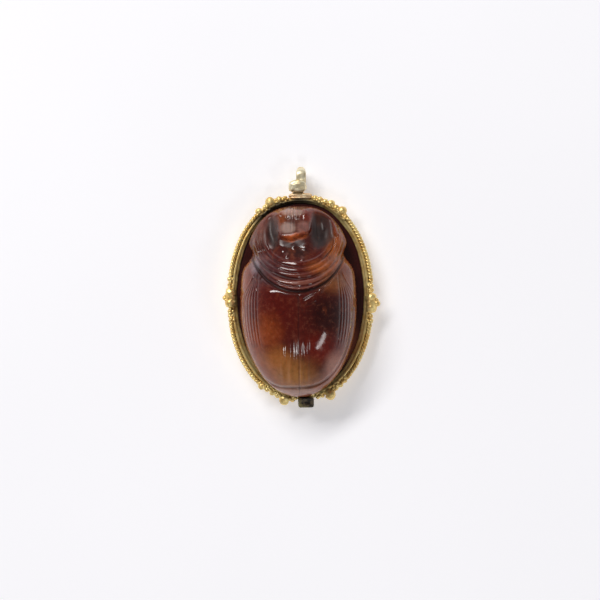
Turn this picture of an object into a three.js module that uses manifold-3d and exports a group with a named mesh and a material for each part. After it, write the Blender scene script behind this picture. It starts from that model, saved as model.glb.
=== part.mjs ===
// A carnelian scarab on its oval plinth, held in a gold bezel that hangs from a fixed loop.
// Millimetres. The amulet lies on its back: +Z is up, +Y points to the loop at the head end, and
// the origin is the middle of the stone's flat back.

import * as THREE from 'three';
import { mergeVertices } from 'three/addons/utils/BufferGeometryUtils.js';
import Module from 'manifold-3d';

const wasm = await Module();
wasm.setup();

// Plinth of the stone, a rounded oval
const PLINTH_WIDTH = 13.1;
const PLINTH_LENGTH = 19.1;
const PLINTH_HEIGHT = 1.55;
const OVAL_POWER = 2.12; // 2 is a true ellipse, more is squarer
const BACK_BEVEL = 0.3;
const BACK_BEVEL_HEIGHT = 0.35;
const PLINTH_EDGE = 0.12;

// Beetle on the plinth
const SIDE_SETBACK = 0.8;
const HEAD_SETBACK = 0.45;
const TAIL_OVERHANG = 0.25;
const BEETLE_SHIFT = -0.2;
const BEETLE_LEAN = THREE.MathUtils.degToRad(0.6);
const UNDERCUT_HEIGHT = 0.55;
const UNDERCUT_DEPTH = 0.8;
const RIM_HEIGHT = 1.05;
const RIM_THICKNESS = 0.2;
const RIM_TUCK = 0.05;
const DOME_HEIGHT = 5.2;
const LEG_RELIEF = 0.5;

// Gold band round the plinth
const FIT = 0.05;
const BAND_WALL = 0.23;
const BAND_BEVEL = 0.05;
const BAND_BEVEL_HEIGHT = 0.1;
const LIP_REACH = 0.25;
const LIP_THICKNESS = 0.3;
const LIP_BEVEL = 0.18;
const LIP_SHIFT = 0.15; // the lip is narrower at the head end than at the foot
const LOWER_LIP_EDGE = 0.06; // between the lower lip and the bevel of the stone's back
const LOWER_LIP_RISE = 0.02;

// Gold trimmings
const SOLDER_GAP = 0.04;
const ROPE_DIAMETER = 0.45;
const TRIM_HEIGHT = 1.775;
const BOSS_LENGTH = 2.0;
const BOSS_WIDTH = 0.95;
const BOSS_HEIGHT = 1.05;
const BOSS_WAIST = 0.4; // share of the width and height that the waist takes
const BOSS_WAIST_LENGTH = 0.4;
const BOSS_OUT = 0.12; // from the band's outer edge to the middle of the boss
const COLLAR_LENGTH = 2.4;
const COLLAR_WIDTH = 0.48;
const COLLAR_HEIGHT = 0.7;
const BEAD_WIDTH = 1.76;
const BEAD_LENGTH = 1.36;
const BEAD_HEIGHT = 1.5;
const BEAD_SHIFT = -0.3;
const BEAD_RISE = 0.2; // above the line of the rope wire
const LOOP_DIAMETER = 2.0;
const LOOP_THICKNESS = 0.4;
const LOOP_WIDTH = 1.0;
const LOOP_SINK = 0.68; // how far the loop's ring reaches past the end of the bead
const LOOP_SHIFT = 0.05;
const LOOP_DROP = 0.35; // below the line of the rope wire
const STUB_WIDTH = 1.6;
const STUB_LENGTH = 1.0;
const STUB_HEIGHT = 1.3;
const STUB_CHAMFER = 0.12;
const STUB_SHIFT = 0.55;

// Grains on the band: distance along the band from the middle of the cluster, then radius
const HEAD_GRAINS = {
  left: [[1.5, 0.2], [2.05, 0.26], [2.9, 0.4], [3.6, 0.22], [4.25, 0.3]],
  right: [[1.4, 0.22], [1.9, 0.22], [2.4, 0.22], [3.0, 0.3], [3.6, 0.24], [4.25, 0.36], [4.88, 0.2]],
};
const FOOT_GRAINS = {
  left: [[0.75, 0.24], [1.5, 0.44], [2.25, 0.24], [2.8, 0.24], [3.38, 0.22], [3.96, 0.3]],
  right: [[1.7, 0.2], [2.15, 0.2], [2.86, 0.46], [3.6, 0.22], [4.12, 0.24], [4.7, 0.22]],
};
const LEFT_SIDE = {
  shift: 0,
  tip: 0.22,
  upper: [[1.3, 0.2], [1.85, 0.24]],
  lower: [[1.3, 0.2], [1.75, 0.2], [2.2, 0.2]],
};
const RIGHT_SIDE = {
  shift: -0.5,
  tip: 0.33,
  upper: [[1.28, 0.2], [1.72, 0.2]],
  lower: [[1.28, 0.2], [1.76, 0.24]],
};

// The beetle's carving is laid out in millimetres on a beetle of this size, and the layout is
// stretched to the length, width and height that the sizes above give it.
const LAYOUT = { halfWidth: 5.75, head: 9.1, tail: -9.8, widestAt: -1.0, dome: 5.2 };
const TAIL_POWER = 2;
const HEAD_POWER = 2.5;
const DOME_POWER = 2.4;
const CARVED_SHARE = 0.93; // the carving fades out beyond this share of the way to the rim
const WAIST = { at: 4.3, depth: 0.75, towardTail: 1.0, towardHead: 0.8 };
const FRONT_DROP = { from: 0.3, to: 5, share: 0.34 };
const COLLAR_CENTRE = 6.0;
const COLLAR_FADE = 0.5;
const COLLAR_GROOVES = [
  { across: 4.85, along: 5.4, depth: 0.42, width: 0.24 },
  { across: 4.55, along: 4.2, depth: 0.26, width: 0.26 },
  { across: 3.65, along: 3.0, depth: 0.22, width: 0.24 },
];
// The grooves beside the head lean outward to the front or bow outward in the middle
const CHEEK_GROOVES = [
  { at: -2.5, lean: -0.09, bow: 0, width: 0.48, depth: 0.6 },
  { at: 1.8, lean: 0.0, bow: 0.3, width: 0.62, depth: 0.85 },
];
const CHEEK = { rear: 4.2, middle: 6.5, front: 8.9, fade: 1.4, half: 2.2 };
const CLYPEUS = {
  at: -0.3, halfWidth: 1.42, flare: 0.12, edge: 0.5, rear: 5.8, step: 0.25, front: 8.8, rise: 0.4, drop: 0.25,
};
const SUTURE = { depth: 0.14, width: 0.2, from: 0.6, fade: 0.5 };
const TAIL_GROOVES = { spread: 0.85, depth: 0.1, width: 0.22, from: -4.5, fade: 2 };
const LEDGE = { at: 0.881, left: 0.12, right: 0.05, turn: 0.45, depth: 0.18, width: 0.028 };
const LEGS = { at: [6.6, 1.6, -4.6], width: 0.8, slant: 0.7 };

// How finely the forms are cut into faces
const GRID_ACROSS = 32;
const GRID_ALONG = 42;
const RIM_CROWDING = 0.35;
const ROW_CROWDING = { at: 0.33, width: 0.3, gain: 1.1 };
const BAND_SEGMENTS = 72;
const ROPE_SIDES = 6;
const ROPE_STEPS = 18;
const GRAIN_FACES = [7, 4];
const BOSS_FACES = [10, 6];
const BEAD_FACES = [12, 8];
const BEAD_CUT_FACES = [16, 10];
const LOOP_FACES = [6, 20];
const COLLAR_FACES = [3, 10];

const smooth = (from, to, value) => THREE.MathUtils.smoothstep((value - from) / (to - from), 0, 1);
const bell = (distance, width) => Math.exp(-((distance / width) ** 2));

// A closed solid gathered point by point and face by face
class Solid {
  positions = [];
  indices = [];

  point(x, y, z) {
    this.positions.push(x, y, z);
    return this.positions.length / 3 - 1;
  }

  triangle(a, b, c) {
    this.indices.push(a, b, c);
  }

  // Joins two closed loops of as many points. The second lies below or inside the first.
  band(upper, lower) {
    upper.forEach((a, i) => {
      const next = (i + 1) % upper.length;
      this.triangle(a, lower[i], lower[next]);
      this.triangle(a, lower[next], upper[next]);
    });
  }

  // Closes a loop that runs counter-clockwise seen from above, with a face that looks down
  floor(loop) {
    const outline = loop.map((i) => new THREE.Vector2(this.positions[3 * i], this.positions[3 * i + 1]));
    for (const [a, b, c] of THREE.ShapeUtils.triangulateShape(outline, [])) {
      this.triangle(loop[a], loop[c], loop[b]);
    }
  }

  geometry() {
    const made = new THREE.BufferGeometry();
    made.setAttribute('position', new THREE.Float32BufferAttribute(this.positions, 3));
    made.setIndex(this.indices);
    made.computeVertexNormals();
    return made;
  }
}

function manifoldOf(geometry) {
  const plain = geometry.clone();
  plain.deleteAttribute('normal');
  plain.deleteAttribute('uv');
  const merged = mergeVertices(plain, 1e-4);
  return new wasm.Manifold(new wasm.Mesh({
    numProp: 3,
    vertProperties: Float32Array.from(merged.attributes.position.array),
    triVerts: Uint32Array.from(merged.index.array),
  }));
}

function cutAway(geometry, cutter) {
  const left = manifoldOf(geometry).subtract(manifoldOf(cutter)).getMesh();
  const made = new THREE.BufferGeometry();
  made.setAttribute('position', new THREE.Float32BufferAttribute(left.vertProperties, 3));
  made.setIndex(new THREE.BufferAttribute(left.triVerts, 1));
  made.computeVertexNormals();
  return made;
}

// Point of the plinth's oval, moved out by a distance, at an angle from +X
function oval(angle, out = 0) {
  const along = (value, half) => Math.sign(value) * Math.abs(value) ** (2 / OVAL_POWER) * half;
  return [
    along(Math.cos(angle), PLINTH_WIDTH / 2 + out),
    along(Math.sin(angle), PLINTH_LENGTH / 2 + out),
  ];
}

// Half width of the beetle's outline in the layout
function halfWidth(y) {
  const toTail = y < LAYOUT.widestAt;
  const reach = (toTail ? LAYOUT.tail : LAYOUT.head) - LAYOUT.widestAt;
  const power = toTail ? TAIL_POWER : HEAD_POWER;
  const share = Math.min(1, Math.abs((y - LAYOUT.widestAt) / reach));
  const waist = bell(y - WAIST.at, y < WAIST.at ? WAIST.towardTail : WAIST.towardHead);
  return LAYOUT.halfWidth * (1 - share ** power) ** (1 / power) - WAIST.depth * waist;
}

// Distance from an ellipse round the middle of the prothorax, positive outside it
function fromArc(x, y, arc) {
  const [u, v] = [x / arc.across, (y - COLLAR_CENTRE) / arc.along];
  const size = Math.hypot(u, v);
  return ((size - 1) * size) / Math.hypot(u / arc.across, v / arc.along);
}

// What the carving adds to the dome, in the layout, at a point of the disc p, q
function carving(x, y, p, q) {
  let height = 0;
  for (const groove of COLLAR_GROOVES) {
    const backward = 1 - smooth(COLLAR_CENTRE - COLLAR_FADE, COLLAR_CENTRE + COLLAR_FADE, y);
    height -= groove.depth * bell(fromArc(x, y, groove), groove.width) * backward;
  }
  const besideHead = smooth(CHEEK.rear, CHEEK.rear + CHEEK.fade, y)
    * (1 - smooth(CHEEK.front - CHEEK.fade, CHEEK.front, y));
  for (const groove of CHEEK_GROOVES) {
    const forward = y - CHEEK.middle;
    const middle = groove.at + groove.lean * forward + groove.bow * (1 - (forward / CHEEK.half) ** 2);
    height -= groove.depth * bell(x - middle, groove.width) * besideHead;
  }
  const plateHalf = CLYPEUS.halfWidth + CLYPEUS.flare * (y - CLYPEUS.rear);
  const pastEdge = Math.abs(x - CLYPEUS.at) - plateHalf;
  const onClypeus = 1 - smooth(-CLYPEUS.edge / 2, CLYPEUS.edge / 2, pastEdge);
  const plate = CLYPEUS.rise * (1 - smooth(CLYPEUS.rear, CLYPEUS.front, y)) + CLYPEUS.drop;
  const step = smooth(CLYPEUS.rear - CLYPEUS.step / 2, CLYPEUS.rear + CLYPEUS.step / 2, y);
  const behindFront = 1 - smooth(CLYPEUS.front - CLYPEUS.edge, LAYOUT.head, y);
  const aheadOfCollar = smooth(CHEEK.rear - CHEEK.fade, CHEEK.rear, y);
  height += onClypeus * (plate * step - CLYPEUS.drop) * aheadOfCollar * behindFront;
  const onElytra = 1 - smooth(SUTURE.from - SUTURE.fade, SUTURE.from, y);
  height -= SUTURE.depth * bell(x, SUTURE.width) * onElytra;
  const nearTail = 1 - smooth(TAIL_GROOVES.from - TAIL_GROOVES.fade, TAIL_GROOVES.from, y);
  height -= TAIL_GROOVES.depth * bell(Math.abs(x) - TAIL_GROOVES.spread, TAIL_GROOVES.width) * nearTail;
  const turn = Math.atan2(p, -q);
  const spread = (turn < 0 ? LEDGE.left : LEDGE.right) * (1 - bell(turn, LEDGE.turn));
  const radius = Math.hypot(p, q);
  height -= LEDGE.depth * bell(radius - LEDGE.at - spread, LEDGE.width) * (q < 0 ? 1 : 0);
  return height;
}

// Places a point of the layout on the plinth
function onPlinth(x, y, z) {
  const wide = (PLINTH_WIDTH / 2 - SIDE_SETBACK) / LAYOUT.halfWidth;
  const tail = -(PLINTH_LENGTH / 2 + TAIL_OVERHANG);
  const head = PLINTH_LENGTH / 2 - HEAD_SETBACK;
  const long = (head - tail) / (LAYOUT.head - LAYOUT.tail);
  const [bx, by] = [x * wide, tail + (y - LAYOUT.tail) * long];
  return [
    BEETLE_SHIFT + bx * Math.cos(BEETLE_LEAN) - by * Math.sin(BEETLE_LEAN),
    bx * Math.sin(BEETLE_LEAN) + by * Math.cos(BEETLE_LEAN),
    z,
  ];
}

// Outline and height of the beetle at a point of the unit disc
function beetlePoint(p, q) {
  const reach = q < 0 ? LAYOUT.widestAt - LAYOUT.tail : LAYOUT.head - LAYOUT.widestAt;
  const y = LAYOUT.widestAt + q * reach;
  const chord = Math.sqrt(Math.max(1e-12, 1 - q * q));
  const x = THREE.MathUtils.clamp(p / chord, -1, 1) * halfWidth(y);
  const radius = Math.min(1, Math.hypot(p, q));
  const dome = Math.sqrt(1 - radius ** DOME_POWER);
  const drop = 1 - FRONT_DROP.share * smooth(FRONT_DROP.from, FRONT_DROP.to, y);
  const carved = carving(x, y, p, q) * (1 - smooth(CARVED_SHARE, 1, radius));
  const height = (LAYOUT.dome * dome * drop + carved) * (DOME_HEIGHT / LAYOUT.dome);
  return onPlinth(x, y, PLINTH_HEIGHT + RIM_HEIGHT + Math.max(0, height));
}

// Grid lines from -1 to 1 that stand closer together round one place
function gridLines(count, crowding) {
  const weight = (at) => (crowding ? 1 + crowding.gain * bell(at - crowding.at, crowding.width) : 1);
  const lines = [0];
  for (let i = 0; i < count; i += 1) {
    const middle = -1 + (2 * i + 1) / count;
    lines.push(lines[i] + 1 / weight(middle));
  }
  return lines.map((sum) => -1 + (2 * sum) / lines[count]);
}

function discPoint(u, v) {
  const [p, q] = [u * Math.sqrt(1 - (v * v) / 2), v * Math.sqrt(1 - (u * u) / 2)];
  const spread = 1 + RIM_CROWDING * (1 - (p * p + q * q));
  return [p * spread, q * spread];
}

// Relief of the legs under the beetle's rim, which slant back as they go down
function legs(y, down) {
  return LEGS.at.reduce((sum, at) => sum + bell(y - at + LEGS.slant * down, LEGS.width), 0);
}

function scarabStone() {
  const solid = new Solid();
  const columns = gridLines(GRID_ACROSS);
  const rows = gridLines(GRID_ALONG, ROW_CROWDING);
  const disc = rows.map((v) => columns.map((u) => discPoint(u, v)));
  const top = disc.map((row) => row.map(([p, q]) => solid.point(...beetlePoint(p, q))));
  for (let j = 0; j < GRID_ALONG; j += 1) {
    for (let i = 0; i < GRID_ACROSS; i += 1) {
      const [a, b, c, d] = [top[j][i], top[j][i + 1], top[j + 1][i + 1], top[j + 1][i]];
      if ((i < GRID_ACROSS / 2) === (j < GRID_ALONG / 2)) {
        solid.triangle(a, b, c);
        solid.triangle(a, c, d);
      } else {
        solid.triangle(a, b, d);
        solid.triangle(b, c, d);
      }
    }
  }
  const edge = [];
  for (let i = 0; i < GRID_ACROSS; i += 1) edge.push([0, i]);
  for (let j = 0; j < GRID_ALONG; j += 1) edge.push([j, GRID_ACROSS]);
  for (let i = GRID_ACROSS; i > 0; i -= 1) edge.push([GRID_ALONG, i]);
  for (let j = GRID_ALONG; j > 0; j -= 1) edge.push([j, 0]);
  const rim = edge.map(([j, i]) => top[j][i]);

  const underRim = (inset, relief, down, z) => edge.map(([j, i]) => {
    const index = top[j][i];
    const [x, y] = [solid.positions[3 * index], solid.positions[3 * index + 1]];
    const depth = inset - relief * legs(y, down);
    const share = 1 - depth / Math.hypot(x, y);
    return solid.point(x * share, y * share, z);
  });
  const plinthRing = (inset, z) => edge.map(([j, i]) => {
    const [p, q] = disc[j][i];
    return solid.point(...oval(Math.atan2(q, p), -inset), z);
  });
  const foot = PLINTH_HEIGHT;
  const loops = [
    rim,
    underRim(RIM_TUCK, 0, 0, foot + RIM_HEIGHT - RIM_THICKNESS),
    underRim(UNDERCUT_DEPTH, LEG_RELIEF, -0.5, foot + UNDERCUT_HEIGHT),
    underRim(UNDERCUT_DEPTH, LEG_RELIEF, 0.5, foot),
    plinthRing(PLINTH_EDGE, foot),
    plinthRing(0, foot - PLINTH_EDGE),
    plinthRing(0, BACK_BEVEL_HEIGHT),
    plinthRing(BACK_BEVEL, 0),
  ];
  for (let k = 0; k + 1 < loops.length; k += 1) solid.band(loops[k], loops[k + 1]);
  solid.floor(loops.at(-1));
  return solid.geometry();
}

const lipBottom = PLINTH_HEIGHT + FIT;
const lipTop = lipBottom + LIP_THICKNESS;
const bandOuter = FIT + BAND_WALL;

// The band is one section carried round the oval: [distance out, height, share of the lip's shift]
function bezelBand() {
  const section = [
    [-LIP_REACH, lipTop - LIP_BEVEL, 1],
    [FIT, lipTop, 0],
    [bandOuter - BAND_BEVEL, lipTop, 0],
    [bandOuter, lipTop - BAND_BEVEL_HEIGHT, 0],
    [bandOuter, BAND_BEVEL_HEIGHT, 0],
    [bandOuter - BAND_BEVEL, 0, 0],
    [-BACK_BEVEL + LOWER_LIP_EDGE, 0, 0],
    [FIT, BACK_BEVEL_HEIGHT + LOWER_LIP_RISE, 0],
    [FIT, lipBottom, 0],
    [-LIP_REACH, lipBottom, 1],
  ];
  const solid = new Solid();
  const loops = section.map(([out, z, shifted]) => {
    const loop = [];
    for (let k = 0; k < BAND_SEGMENTS; k += 1) {
      const [x, y] = oval((2 * Math.PI * k) / BAND_SEGMENTS, out);
      loop.push(solid.point(x, y + shifted * LIP_SHIFT, z));
    }
    return loop;
  });
  loops.forEach((loop, k) => solid.band(loop, loops[(k + 1) % loops.length]));
  return solid.geometry();
}

// An oval block as wide as the band, which the bosses are cut to sit on
function bandBlock() {
  const solid = new Solid();
  const ring = (out, z) => {
    const loop = [];
    for (let k = 0; k < BAND_SEGMENTS; k += 1) {
      loop.push(solid.point(...oval((2 * Math.PI * k) / BAND_SEGMENTS, out), z));
    }
    return loop;
  };
  const upper = ring(bandOuter + SOLDER_GAP, lipTop + SOLDER_GAP);
  const lower = ring(bandOuter + SOLDER_GAP, -BOSS_HEIGHT);
  solid.band(upper, lower);
  solid.floor(lower);
  const outline = upper.map((i) => new THREE.Vector2(solid.positions[3 * i], solid.positions[3 * i + 1]));
  for (const [a, b, c] of THREE.ShapeUtils.triangulateShape(outline, [])) {
    solid.triangle(upper[a], upper[b], upper[c]);
  }
  return solid.geometry();
}

// The band's outer edge as a closed curve from the head end round by the left side
class BandEdge extends THREE.Curve {
  constructor(out) {
    super();
    this.out = out;
    this.arcLengthDivisions = 800;
  }

  getPoint(t, target = new THREE.Vector3()) {
    return target.set(...oval(Math.PI / 2 + 2 * Math.PI * t, this.out), TRIM_HEIGHT);
  }
}

class Stretch extends THREE.Curve {
  constructor(whole, from, to) {
    super();
    Object.assign(this, { whole, from, to });
  }

  getPoint(t, target = new THREE.Vector3()) {
    return this.whole.getPointAt(THREE.MathUtils.lerp(this.from, this.to, t), target);
  }
}

const edgeLine = new BandEdge(bandOuter);
const ropeLine = new BandEdge(bandOuter + SOLDER_GAP + ROPE_DIAMETER / 2);
const edgeLength = edgeLine.getLength();
const STATIONS = { head: 0, left: 0.25, foot: 0.5, right: 0.75 };

// Share of the way round the band, for a distance from a station, positive toward the left side
// from the head end and toward the foot end from the left side
function wayRound(station, distance) {
  return THREE.MathUtils.euclideanModulo(STATIONS[station] + distance / edgeLength, 1);
}

// A point beside the band's outer edge, a distance out from it, with the direction out
function besideBand(share, out) {
  const point = edgeLine.getPointAt(share);
  const tangent = edgeLine.getTangentAt(share);
  const outward = new THREE.Vector3(tangent.y, -tangent.x, 0);
  return { point: point.addScaledVector(outward, out), outward };
}

function grain(radius) {
  return new THREE.SphereGeometry(radius, ...GRAIN_FACES);
}

function ropeWire(from, to) {
  const section = new THREE.Shape();
  section.absarc(0, 0, ROPE_DIAMETER / 2, 0, 2 * Math.PI);
  return new THREE.ExtrudeGeometry(section, {
    curveSegments: ROPE_SIDES / 2,
    steps: ROPE_STEPS,
    bevelEnabled: false,
    extrudePath: new Stretch(ropeLine, from, to),
  });
}

// A boss of two lobes with a waist between them, cut to sit over the band's upper edge
function sideBoss(share) {
  const shape = new THREE.SphereGeometry(1, ...BOSS_FACES);
  const positions = shape.attributes.position;
  for (let i = 0; i < positions.count; i += 1) {
    const along = positions.getY(i) * (BOSS_LENGTH / 2);
    const waist = 1 - BOSS_WAIST * bell(along, BOSS_WAIST_LENGTH);
    positions.setXYZ(i, positions.getX(i) * (BOSS_WIDTH / 2) * waist, along,
      positions.getZ(i) * (BOSS_HEIGHT / 2) * waist);
  }
  const { point, outward } = besideBand(share, SOLDER_GAP + BOSS_OUT);
  shape.rotateZ(Math.atan2(outward.y, outward.x));
  shape.translate(point.x, point.y, lipTop + SOLDER_GAP);
  return cutAway(shape, bandBlock());
}

function ellipsoid(width, length, height, faces) {
  return new THREE.SphereGeometry(0.5, ...faces).rotateX(Math.PI / 2).scale(width, length, height);
}

const headEnd = PLINTH_LENGTH / 2 + bandOuter;
const collarAt = headEnd + SOLDER_GAP + COLLAR_WIDTH / 2;
const beadAt = collarAt + COLLAR_WIDTH / 2 + SOLDER_GAP + BEAD_LENGTH / 2;
const loopAt = beadAt + BEAD_LENGTH / 2 - LOOP_SINK + LOOP_DIAMETER / 2;

function headCollar() {
  const bar = new THREE.CapsuleGeometry(COLLAR_WIDTH / 2, COLLAR_LENGTH - COLLAR_WIDTH, ...COLLAR_FACES);
  return bar.rotateZ(Math.PI / 2).scale(1, 1, COLLAR_HEIGHT / COLLAR_WIDTH);
}

// A strap bent to a ring whose two ends stand on the bead
function suspensionLoop() {
  const middleRadius = (LOOP_DIAMETER - LOOP_THICKNESS) / 2;
  const ring = new THREE.TorusGeometry(middleRadius, LOOP_THICKNESS / 2, ...LOOP_FACES);
  ring.scale(1, 1, LOOP_WIDTH / LOOP_THICKNESS).rotateY(Math.PI / 2);
  const gap = 2 * SOLDER_GAP;
  const bead = ellipsoid(BEAD_WIDTH + gap, BEAD_LENGTH + gap, BEAD_HEIGHT + gap, BEAD_CUT_FACES);
  bead.translate(BEAD_SHIFT - LOOP_SHIFT, beadAt - loopAt, BEAD_RISE + LOOP_DROP);
  return cutAway(ring, bead);
}

function tailStub() {
  const side = STUB_CHAMFER;
  const outline = new THREE.Shape();
  const [w, l] = [STUB_WIDTH / 2 - side, STUB_LENGTH / 2 - side];
  outline.moveTo(-w, -l).lineTo(w, -l).lineTo(w, l).lineTo(-w, l).closePath();
  const block = new THREE.ExtrudeGeometry(outline, {
    depth: STUB_HEIGHT - 2 * side, bevelThickness: side, bevelSize: side, bevelSegments: 1,
  });
  return block.translate(0, 0, side - STUB_HEIGHT / 2);
}

const amulet = new THREE.Group();

function add(name, geometry, colour, metalness, roughness, position) {
  const material = new THREE.MeshStandardMaterial({ color: colour, metalness, roughness });
  const mesh = new THREE.Mesh(geometry, material);
  mesh.name = name;
  if (position) mesh.position.copy(position);
  amulet.add(mesh);
}

const addStone = (name, geometry) => add(name, geometry, 0x6e2a1c, 0, 0.15);
const addGold = (name, geometry, position) => add(name, geometry, 0xd9b45a, 1, 0.3, position);

function addGrains(prefix, station, direction, middle, grains) {
  grains.forEach(([distance, radius], i) => {
    const share = wayRound(station, middle + direction * distance);
    const { point } = besideBand(share, SOLDER_GAP + radius);
    addGold(`${prefix}_${i + 1}`, grain(radius), point);
  });
}

// Distance from the middle of a cluster at which the rope wire begins
function clearOf(grains) {
  const [distance, radius] = grains.at(-1);
  return distance + radius + SOLDER_GAP;
}

addStone('scarab_stone', scarabStone());
addGold('bezel_band', bezelBand());

addGrains('head_grain_left', 'head', 1, 0, HEAD_GRAINS.left);
addGrains('head_grain_right', 'head', -1, 0, HEAD_GRAINS.right);
addGrains('foot_grain_left', 'foot', -1, 0, FOOT_GRAINS.left);
addGrains('foot_grain_right', 'foot', 1, 0, FOOT_GRAINS.right);

for (const [station, side, down] of [['left', LEFT_SIDE, 1], ['right', RIGHT_SIDE, -1]]) {
  const middle = -down * side.shift;
  const share = wayRound(station, middle);
  addGold(`side_boss_${station}`, sideBoss(share));
  const outerEdge = SOLDER_GAP + BOSS_OUT + (BOSS_WIDTH / 2) * (1 - BOSS_WAIST);
  addGold(`side_tip_${station}`, grain(side.tip), besideBand(share, outerEdge + SOLDER_GAP + side.tip).point);
  addGrains(`side_grain_${station}_upper`, station, -down, middle, side.upper);
  addGrains(`side_grain_${station}_lower`, station, down, middle, side.lower);
}

const leftMiddle = -LEFT_SIDE.shift;
const rightMiddle = RIGHT_SIDE.shift;
addGold('rope_wire_upper_left', ropeWire(
  wayRound('head', clearOf(HEAD_GRAINS.left)),
  wayRound('left', leftMiddle - clearOf(LEFT_SIDE.upper)),
));
addGold('rope_wire_lower_left', ropeWire(
  wayRound('left', leftMiddle + clearOf(LEFT_SIDE.lower)),
  wayRound('foot', -clearOf(FOOT_GRAINS.left)),
));
addGold('rope_wire_lower_right', ropeWire(
  wayRound('foot', clearOf(FOOT_GRAINS.right)),
  wayRound('right', rightMiddle - clearOf(RIGHT_SIDE.lower)),
));
addGold('rope_wire_upper_right', ropeWire(
  wayRound('right', rightMiddle + clearOf(RIGHT_SIDE.upper)),
  wayRound('head', -clearOf(HEAD_GRAINS.right)),
));

addGold('head_collar', headCollar(), new THREE.Vector3(0, collarAt, TRIM_HEIGHT));
addGold('suspension_bead', ellipsoid(BEAD_WIDTH, BEAD_LENGTH, BEAD_HEIGHT, BEAD_FACES),
  new THREE.Vector3(BEAD_SHIFT, beadAt, TRIM_HEIGHT + BEAD_RISE));
addGold('suspension_loop', suspensionLoop(),
  new THREE.Vector3(LOOP_SHIFT, loopAt, TRIM_HEIGHT - LOOP_DROP));

const stubStart = PLINTH_LENGTH / 2 + Math.max(bandOuter, TAIL_OVERHANG) + SOLDER_GAP;
add('tail_stub', tailStub(), 0x312e2e, 0.2, 0.6,
  new THREE.Vector3(STUB_SHIFT, -stubStart - STUB_LENGTH / 2, TRIM_HEIGHT));

export default amulet;
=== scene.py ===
import math

import bmesh
import bpy
import numpy as np
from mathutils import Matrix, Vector


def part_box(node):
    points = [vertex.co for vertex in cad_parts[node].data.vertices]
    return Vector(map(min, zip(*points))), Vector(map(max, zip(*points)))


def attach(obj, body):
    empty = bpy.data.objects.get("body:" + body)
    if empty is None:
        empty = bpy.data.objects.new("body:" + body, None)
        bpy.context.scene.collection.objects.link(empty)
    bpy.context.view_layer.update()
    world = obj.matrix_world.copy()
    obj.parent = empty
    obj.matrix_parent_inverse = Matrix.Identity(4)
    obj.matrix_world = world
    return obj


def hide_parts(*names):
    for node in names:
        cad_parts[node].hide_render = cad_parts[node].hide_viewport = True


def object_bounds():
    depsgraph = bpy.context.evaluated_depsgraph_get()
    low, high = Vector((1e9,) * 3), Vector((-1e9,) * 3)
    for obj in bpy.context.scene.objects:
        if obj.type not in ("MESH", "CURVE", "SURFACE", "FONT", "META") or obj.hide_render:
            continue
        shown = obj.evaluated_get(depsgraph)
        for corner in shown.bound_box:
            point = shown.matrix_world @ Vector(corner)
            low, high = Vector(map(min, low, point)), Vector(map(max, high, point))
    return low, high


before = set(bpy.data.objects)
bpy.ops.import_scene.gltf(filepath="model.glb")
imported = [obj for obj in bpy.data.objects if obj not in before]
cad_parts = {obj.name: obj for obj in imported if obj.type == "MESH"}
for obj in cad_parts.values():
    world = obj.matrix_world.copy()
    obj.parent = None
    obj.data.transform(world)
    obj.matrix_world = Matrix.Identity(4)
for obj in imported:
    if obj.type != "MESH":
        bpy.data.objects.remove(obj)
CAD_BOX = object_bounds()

# A gold-mounted carnelian scarab that lies on its back on a pale floor.
# Shapes are worked out in millimetres, and each mesh is stored in metres.
MM = 0.001
UP = np.array([0, 0, 1.0])


# Sizes, in millimetres


def node_points(name):
    """The corner points of a CAD node, in millimetres."""
    points = [v.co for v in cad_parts[name].data.vertices]
    return np.array(points, float) / MM


def node_box(name):
    low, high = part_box(name)
    return np.array(low) / MM, np.array(high) / MM


# Sizes of the solids, which the frame doesn't give by name
PLINTH_HEIGHT = 1.55
PLINTH_EDGE = 0.12
BACK_BEVEL = 0.3
BACK_BEVEL_HEIGHT = 0.35
OVAL_POWER = 2.12
BAND_OUT = 0.28  # from the plinth to the outside of the band
LOOP_OUTER = 1.0  # half of the loop's diameter
LOOP_THICK = 0.4
LOOP_HALF_WIDE = 0.5
SOLDER_GAP = 0.04
TRIM_HEIGHT = 1.775
ROPE_RADIUS = 0.225

# Half the plinth's width and length, from the band in the frame
BAND_LOW, BAND_HIGH = node_box("bezel_band")
PLINTH_HALF = (BAND_HIGH - BAND_LOW)[:2] / 2 - BAND_OUT

# The beetle's form, laid out as in the solids
HALF_WIDTH = 5.75
HEAD, TAIL, WIDEST_AT = 9.1, -9.8, -1.0
DOME = 5.2
TAIL_POWER, HEAD_POWER, DOME_POWER = 2, 2.5, 2.4
BEETLE_SHIFT = -0.2
BEETLE_LEAN = math.radians(0.6)
SIDE_SETBACK, TAIL_OVERHANG, HEAD_SETBACK = 0.8, 0.25, 0.45  # from the plinth's outline
RIM_HEIGHT = 1.05
RIM_THICKNESS = 0.2
UNDERCUT_HEIGHT = 0.55
UNDERCUT_DEPTH = 0.8
LEG_RELIEF = 0.5
LEGS_AT, LEG_WIDTH, LEG_SLANT = (6.6, 1.6, -4.6), 0.8, 0.7
WAIST_AT, WAIST_DEPTH, WAIST_TO_TAIL, WAIST_TO_HEAD = 4.3, 0.75, 1.0, 0.8
FRONT_FROM, FRONT_TO, FRONT_DROP = 0.3, 5.0, 0.34
COLLAR_CENTRE = 6.0
RIM_CROWDING = 0.35

# The rest is the visual model's own
RIM_ROUND = 0.06  # how far the rim's rounded edge comes in
RIM_FADE = 0.95  # the carving fades out from here to the rim
TOP_WORN = 0.05  # the polished top lies this far under the solid's
FLAT_FROM = 0.05  # where the plinth's flat top begins, off its corners
ROW_CROWDING, ROWS_CROWD_AT, ROWS_CROWD_REACH = 1.6, 0.35, 0.3


def smooth(low, high, value):
    """0 beyond the first value and 1 beyond the second, with a soft slope between them."""
    t = np.clip((value - low) / (high - low), 0, 1)
    return t * t * (3 - 2 * t)


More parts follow.
